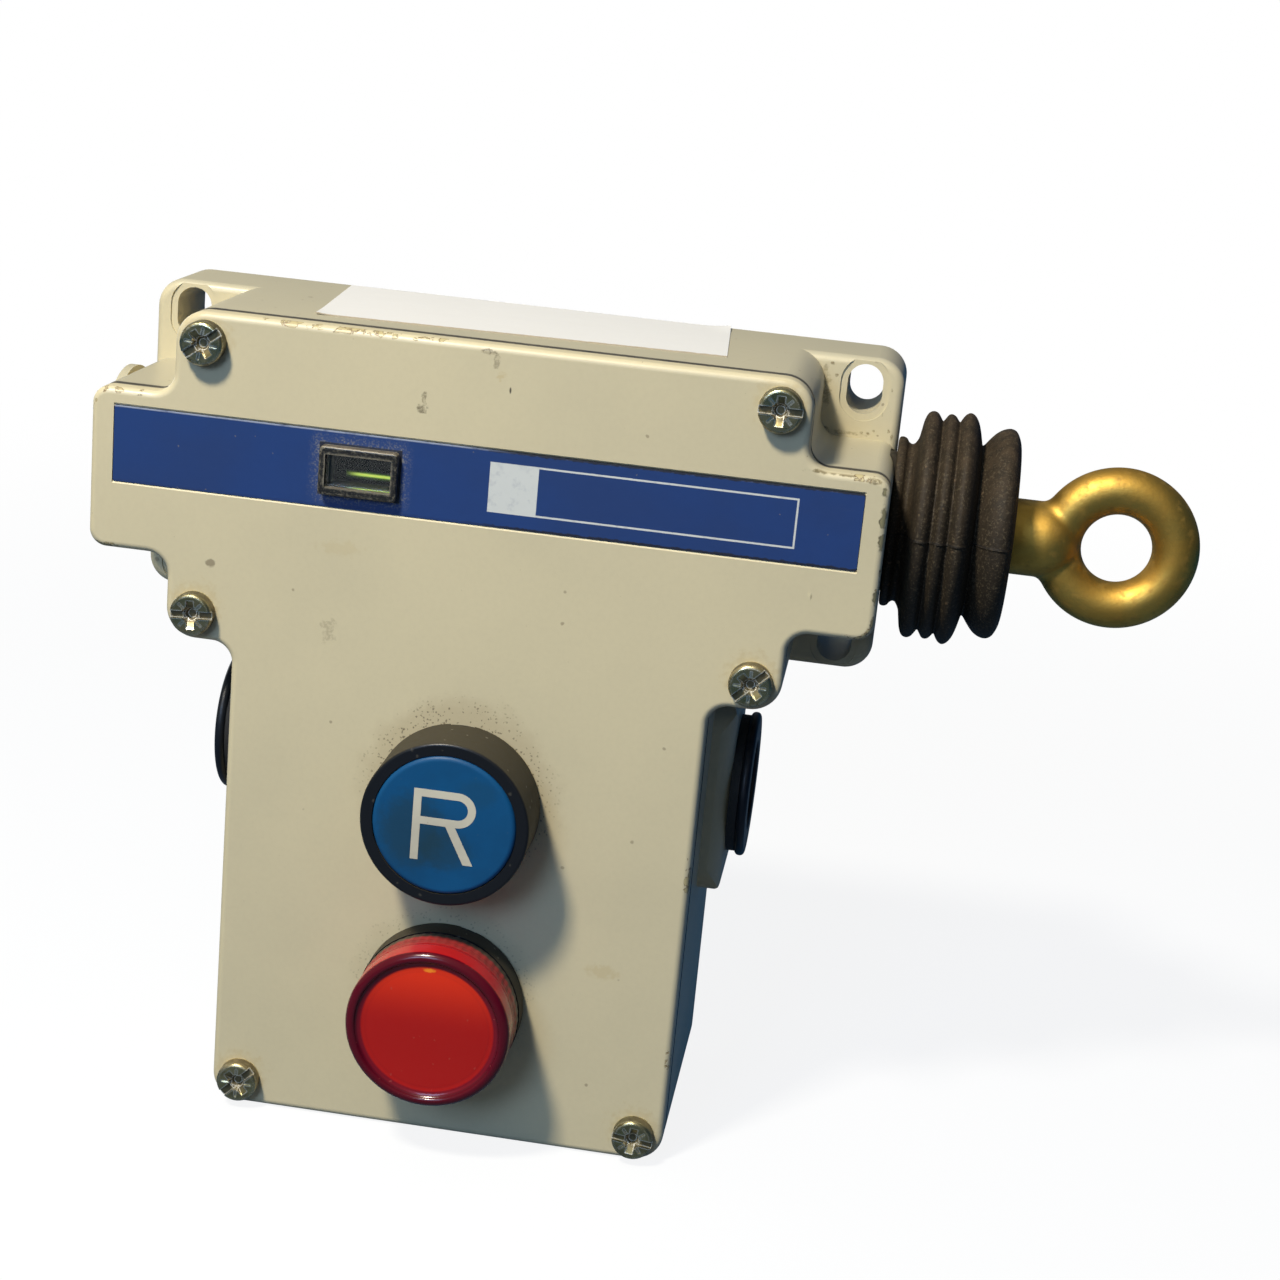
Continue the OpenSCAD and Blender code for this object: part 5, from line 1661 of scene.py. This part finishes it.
@dataclass
class RopeEye:
    """Forged ring eye whose round-nosed shank flows into the ring."""

    centre: Point = (106.8 * MM, *BOOT_AXIS)
    ring_r: float = 10.1 * MM
    bar_r: float = 4.05 * MM
    shank_r: float = 6.6 * MM
    back_x: float = 86 * MM
    nose_x: float = 93.9 * MM
    voxel: float = 0.42 * MM
    ring_steps: int = 96
    bar_steps: int = 40
    shank_steps: int = 48

    def field(self, p: np.ndarray) -> np.ndarray:
        """Signed distance to the eye: smooth union of the ring and the round-nosed shank.

        The ring is a torus round the Y axis. The union is h of the two distances, where the
        blend width grows from the middle of the nose to its upper and lower sides.

        Args:
            p: Array of points.

        Returns:
            Distance of each point, negative inside.
        """
        q = p - np.array(self.centre)
        across = np.hypot(q[:, 0], q[:, 2]) - self.ring_r
        ring = np.hypot(across, q[:, 1]) - self.bar_r
        off = np.hypot(q[:, 1], q[:, 2])
        x = p[:, 0]
        beyond = np.maximum(x - self.nose_x, 0)
        shank = np.hypot(beyond, off) - self.shank_r
        width = MM * (0.28 + 1.7 * np.clip(np.abs(q[:, 2]) / self.shank_r - 0.45, 0, 0.8))
        mix = np.clip(0.5 + 0.5 * (ring - shank) / width, 0, 1)
        return ring * (1 - mix) + shank * mix - width * mix * (1 - mix)

    def rough_form(self) -> bpy.types.Object:
        """Torus and shank as two closed shells in one mesh, before they are made one skin."""
        t = np.linspace(0, 2 * math.pi, self.ring_steps, endpoint=False)[:, None]
        s = np.linspace(0, 2 * math.pi, self.bar_steps, endpoint=False)[None, :]
        reach = self.ring_r + self.bar_r * np.cos(s)
        ring = np.stack([reach * np.cos(t), self.bar_r * np.sin(s) + 0 * t, reach * np.sin(t)], axis=-1)
        ring = (ring + np.array(self.centre)).reshape(-1, 3)
        profile = np.vstack([
            [[self.back_x, POLE], [self.back_x, self.shank_r]],
            arc((self.nose_x, 0), self.shank_r, 90, 1, 24), [[self.nose_x + self.shank_r, POLE]]])
        shank = turned(profile, (0, *self.centre[1:]), "x", self.shank_steps)
        faces = np.vstack([faces_of_grid(self.ring_steps, self.bar_steps, True, True),
                           faces_of_grid(*shank.shape[:2], False, True) + len(ring)])
        return piece_from_faces("rope_eye", np.vstack([ring, shank.reshape(-1, 3)]), faces)

    def build(self) -> list[bpy.types.Object]:
        """One skin over ring and shank, moved onto the smooth union by four Newton steps."""
        piece = self.rough_form()
        remesh = piece.modifiers.new("skin", "REMESH")
        remesh.mode, remesh.voxel_size = "VOXEL", self.voxel
        bpy.context.view_layer.update()
        shape = piece.evaluated_get(bpy.context.evaluated_depsgraph_get())
        skin = bpy.data.meshes.new_from_object(shape)
        piece.modifiers.clear()
        piece.data = skin
        points = np.empty(len(skin.vertices) * 3)
        skin.vertices.foreach_get("co", points)
        points = points.reshape(-1, 3)
        free = points[:, 0] > self.back_x + 0.6 * MM
        tiny = 1e-6
        for _ in range(4):
            value = self.field(points)
            slope = np.stack([(self.field(points + step) - self.field(points - step)) / (2 * tiny)
                              for step in tiny * np.eye(3)], axis=1)
            size = np.maximum((slope**2).sum(axis=1), 0.05)
            points = points - np.where(free, value / size, 0)[:, None] * slope
        skin.vertices.foreach_set("co", points.ravel())
        skin.update()
        skin.shade_smooth()
        EYE_GOLD.dress(piece)
        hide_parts("eye")
        return [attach(piece, "shaft")]


@dataclass(frozen=True)
class Coil:
    """A compression spring: its CAD node, direction, wire and turns, and what holds its two ends."""

    node: str
    axis: int
    wire: float
    turns: float
    low_body: str
    high_body: str
    pair_radius: float = 0.0


@dataclass
class Springs:
    """Coil springs, each a helix that fills its CAD node's box."""

    steps: int = 24
    sides: int = 10
    coils: tuple[Coil, ...] = (
        Coil("main_spring", 0, 0.70 * MM, 6.5, "shaft", "root"),
        Coil("contact_springs", 2, 0.35 * MM, 5, "root", "contacts", 2.0 * MM),
        Coil("latch_spring", 1, 0.30 * MM, 4, "latch", "root"),
        Coil("reset_spring", 1, 0.40 * MM, 6, "reset", "root"))

    def helix(self, coil: Coil, radius: float, low: float, high: float) -> np.ndarray:
        """Tube round a helix whose end turns lie flat.

        With a along the turns and b round the wire, the point is
        ((R + w cos b) cos a, (R + w cos b) sin a, rise(a) + w sin b), where rise grows by one wire
        in the first and the last turn. The end rings shrink to a point.

        Args:
            coil: The spring.
            radius: Radius of the middle of the wire.
            low: Place of one end along the axis.
            high: Place of the other end.

        Returns:
            Array of rings by sides by (across, across, along).
        """
        wire = coil.wire
        turn = np.linspace(0, coil.turns, int(coil.turns * self.steps) + 1)
        long = high - low - 2 * wire
        flat = 2.05 * wire
        rise = np.interp(turn, [0, 1, coil.turns - 1, coil.turns], [0, flat, long - flat, long])
        thick = np.full_like(turn, wire)
        turn, rise = (np.concatenate([v[:1], v, v[-1:]])[:, None] for v in (turn, rise))
        thick = np.concatenate([[POLE], thick, [POLE]])[:, None]
        b = np.linspace(0, 2 * math.pi, self.sides, endpoint=False)[None, :]
        reach = radius + thick * np.cos(b)
        a = 2 * math.pi * turn
        along = low + wire + rise + thick * np.sin(b)
        return np.stack([reach * np.cos(a), reach * np.sin(a), along], axis=-1)

    def build(self) -> list[bpy.types.Object]:
        """One piece for each spring node, laid between the ends of its box."""
        pieces = []
        for coil in self.coils:
            low, high = (np.array(corner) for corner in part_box(coil.node))
            across = [k for k in range(3) if k != coil.axis]
            middle = (low + high) / 2
            radius = coil.pair_radius or (high - low)[across].max() / 2 - coil.wire
            apart = (high[0] - low[0]) / 2 - radius - coil.wire if coil.pair_radius else 0.0
            tube = self.helix(coil, radius, low[coil.axis], high[coil.axis])
            shells = []
            for side in ((-apart, apart) if apart else (0.0,)):
                points = np.zeros_like(tube)
                points[..., across[0]] = tube[..., 0] + middle[across[0]]
                points[..., across[1]] = tube[..., 1] + middle[across[1]]
                points[..., coil.axis] = tube[..., 2]
                points[..., 0] += side
                shells.append(points.reshape(-1, 3))
            faces = faces_of_grid(*tube.shape[:2], False, True)
            piece = piece_from_faces(coil.node + "_coil", np.vstack(shells),
                                     np.vstack([faces + k * len(shells[0]) for k in range(len(shells))]))
            SPRING_STEEL.dress(piece)
            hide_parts(coil.node)
            start, end = middle.copy(), middle.copy()
            start[coil.axis], end[coil.axis] = low[coil.axis], high[coil.axis]
            pieces.append(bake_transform(piece))
        return pieces


@dataclass
class Mechanism:
    """Shaft, spring, cam, contacts and latch inside the box."""

    def build(self) -> list[bpy.types.Object]:
        """Dresses the parts of the mechanism."""
        PLAIN_STEEL.dress("mechanism_frame", "latch_pin", "pull_shaft", "cam_sleeve", "latch_lever")
        SCREW_ZINC.dress("frame_screws", "terminal_screws", "earth_screw", "spring_washer", "tension_nuts")
        BRONZE.dress("outer_bush", "inner_bush")
        CONTACT_BRASS.dress("fixed_contacts", "contact_bridges")
        INNER_BLACK.dress("contact_block_left", "contact_block_right", "contact_slider")
        FLAG_BLACK.dress("indicator_flag")
        NYLON.dress("contact_plungers")
        MARK_GREEN.dress("indicator_marks")
        return []


def main() -> None:
    logging.basicConfig(level=logging.INFO, format="%(name)s: %(message)s")
    View(floor_z=cad_box[0][2] - 0.2 * MM).build()
    assemblies = (Box(), CablePlugs(), ResetButton(), PilotLamp(), Boot(), RopeEye(), Springs(), Mechanism())
    for assembly in assemblies:
        for piece in assembly.build():
            LOG.info("%s: %s with %d faces", type(assembly).__name__, piece.name, len(piece.data.polygons))


if __name__ == "__main__":
    main()
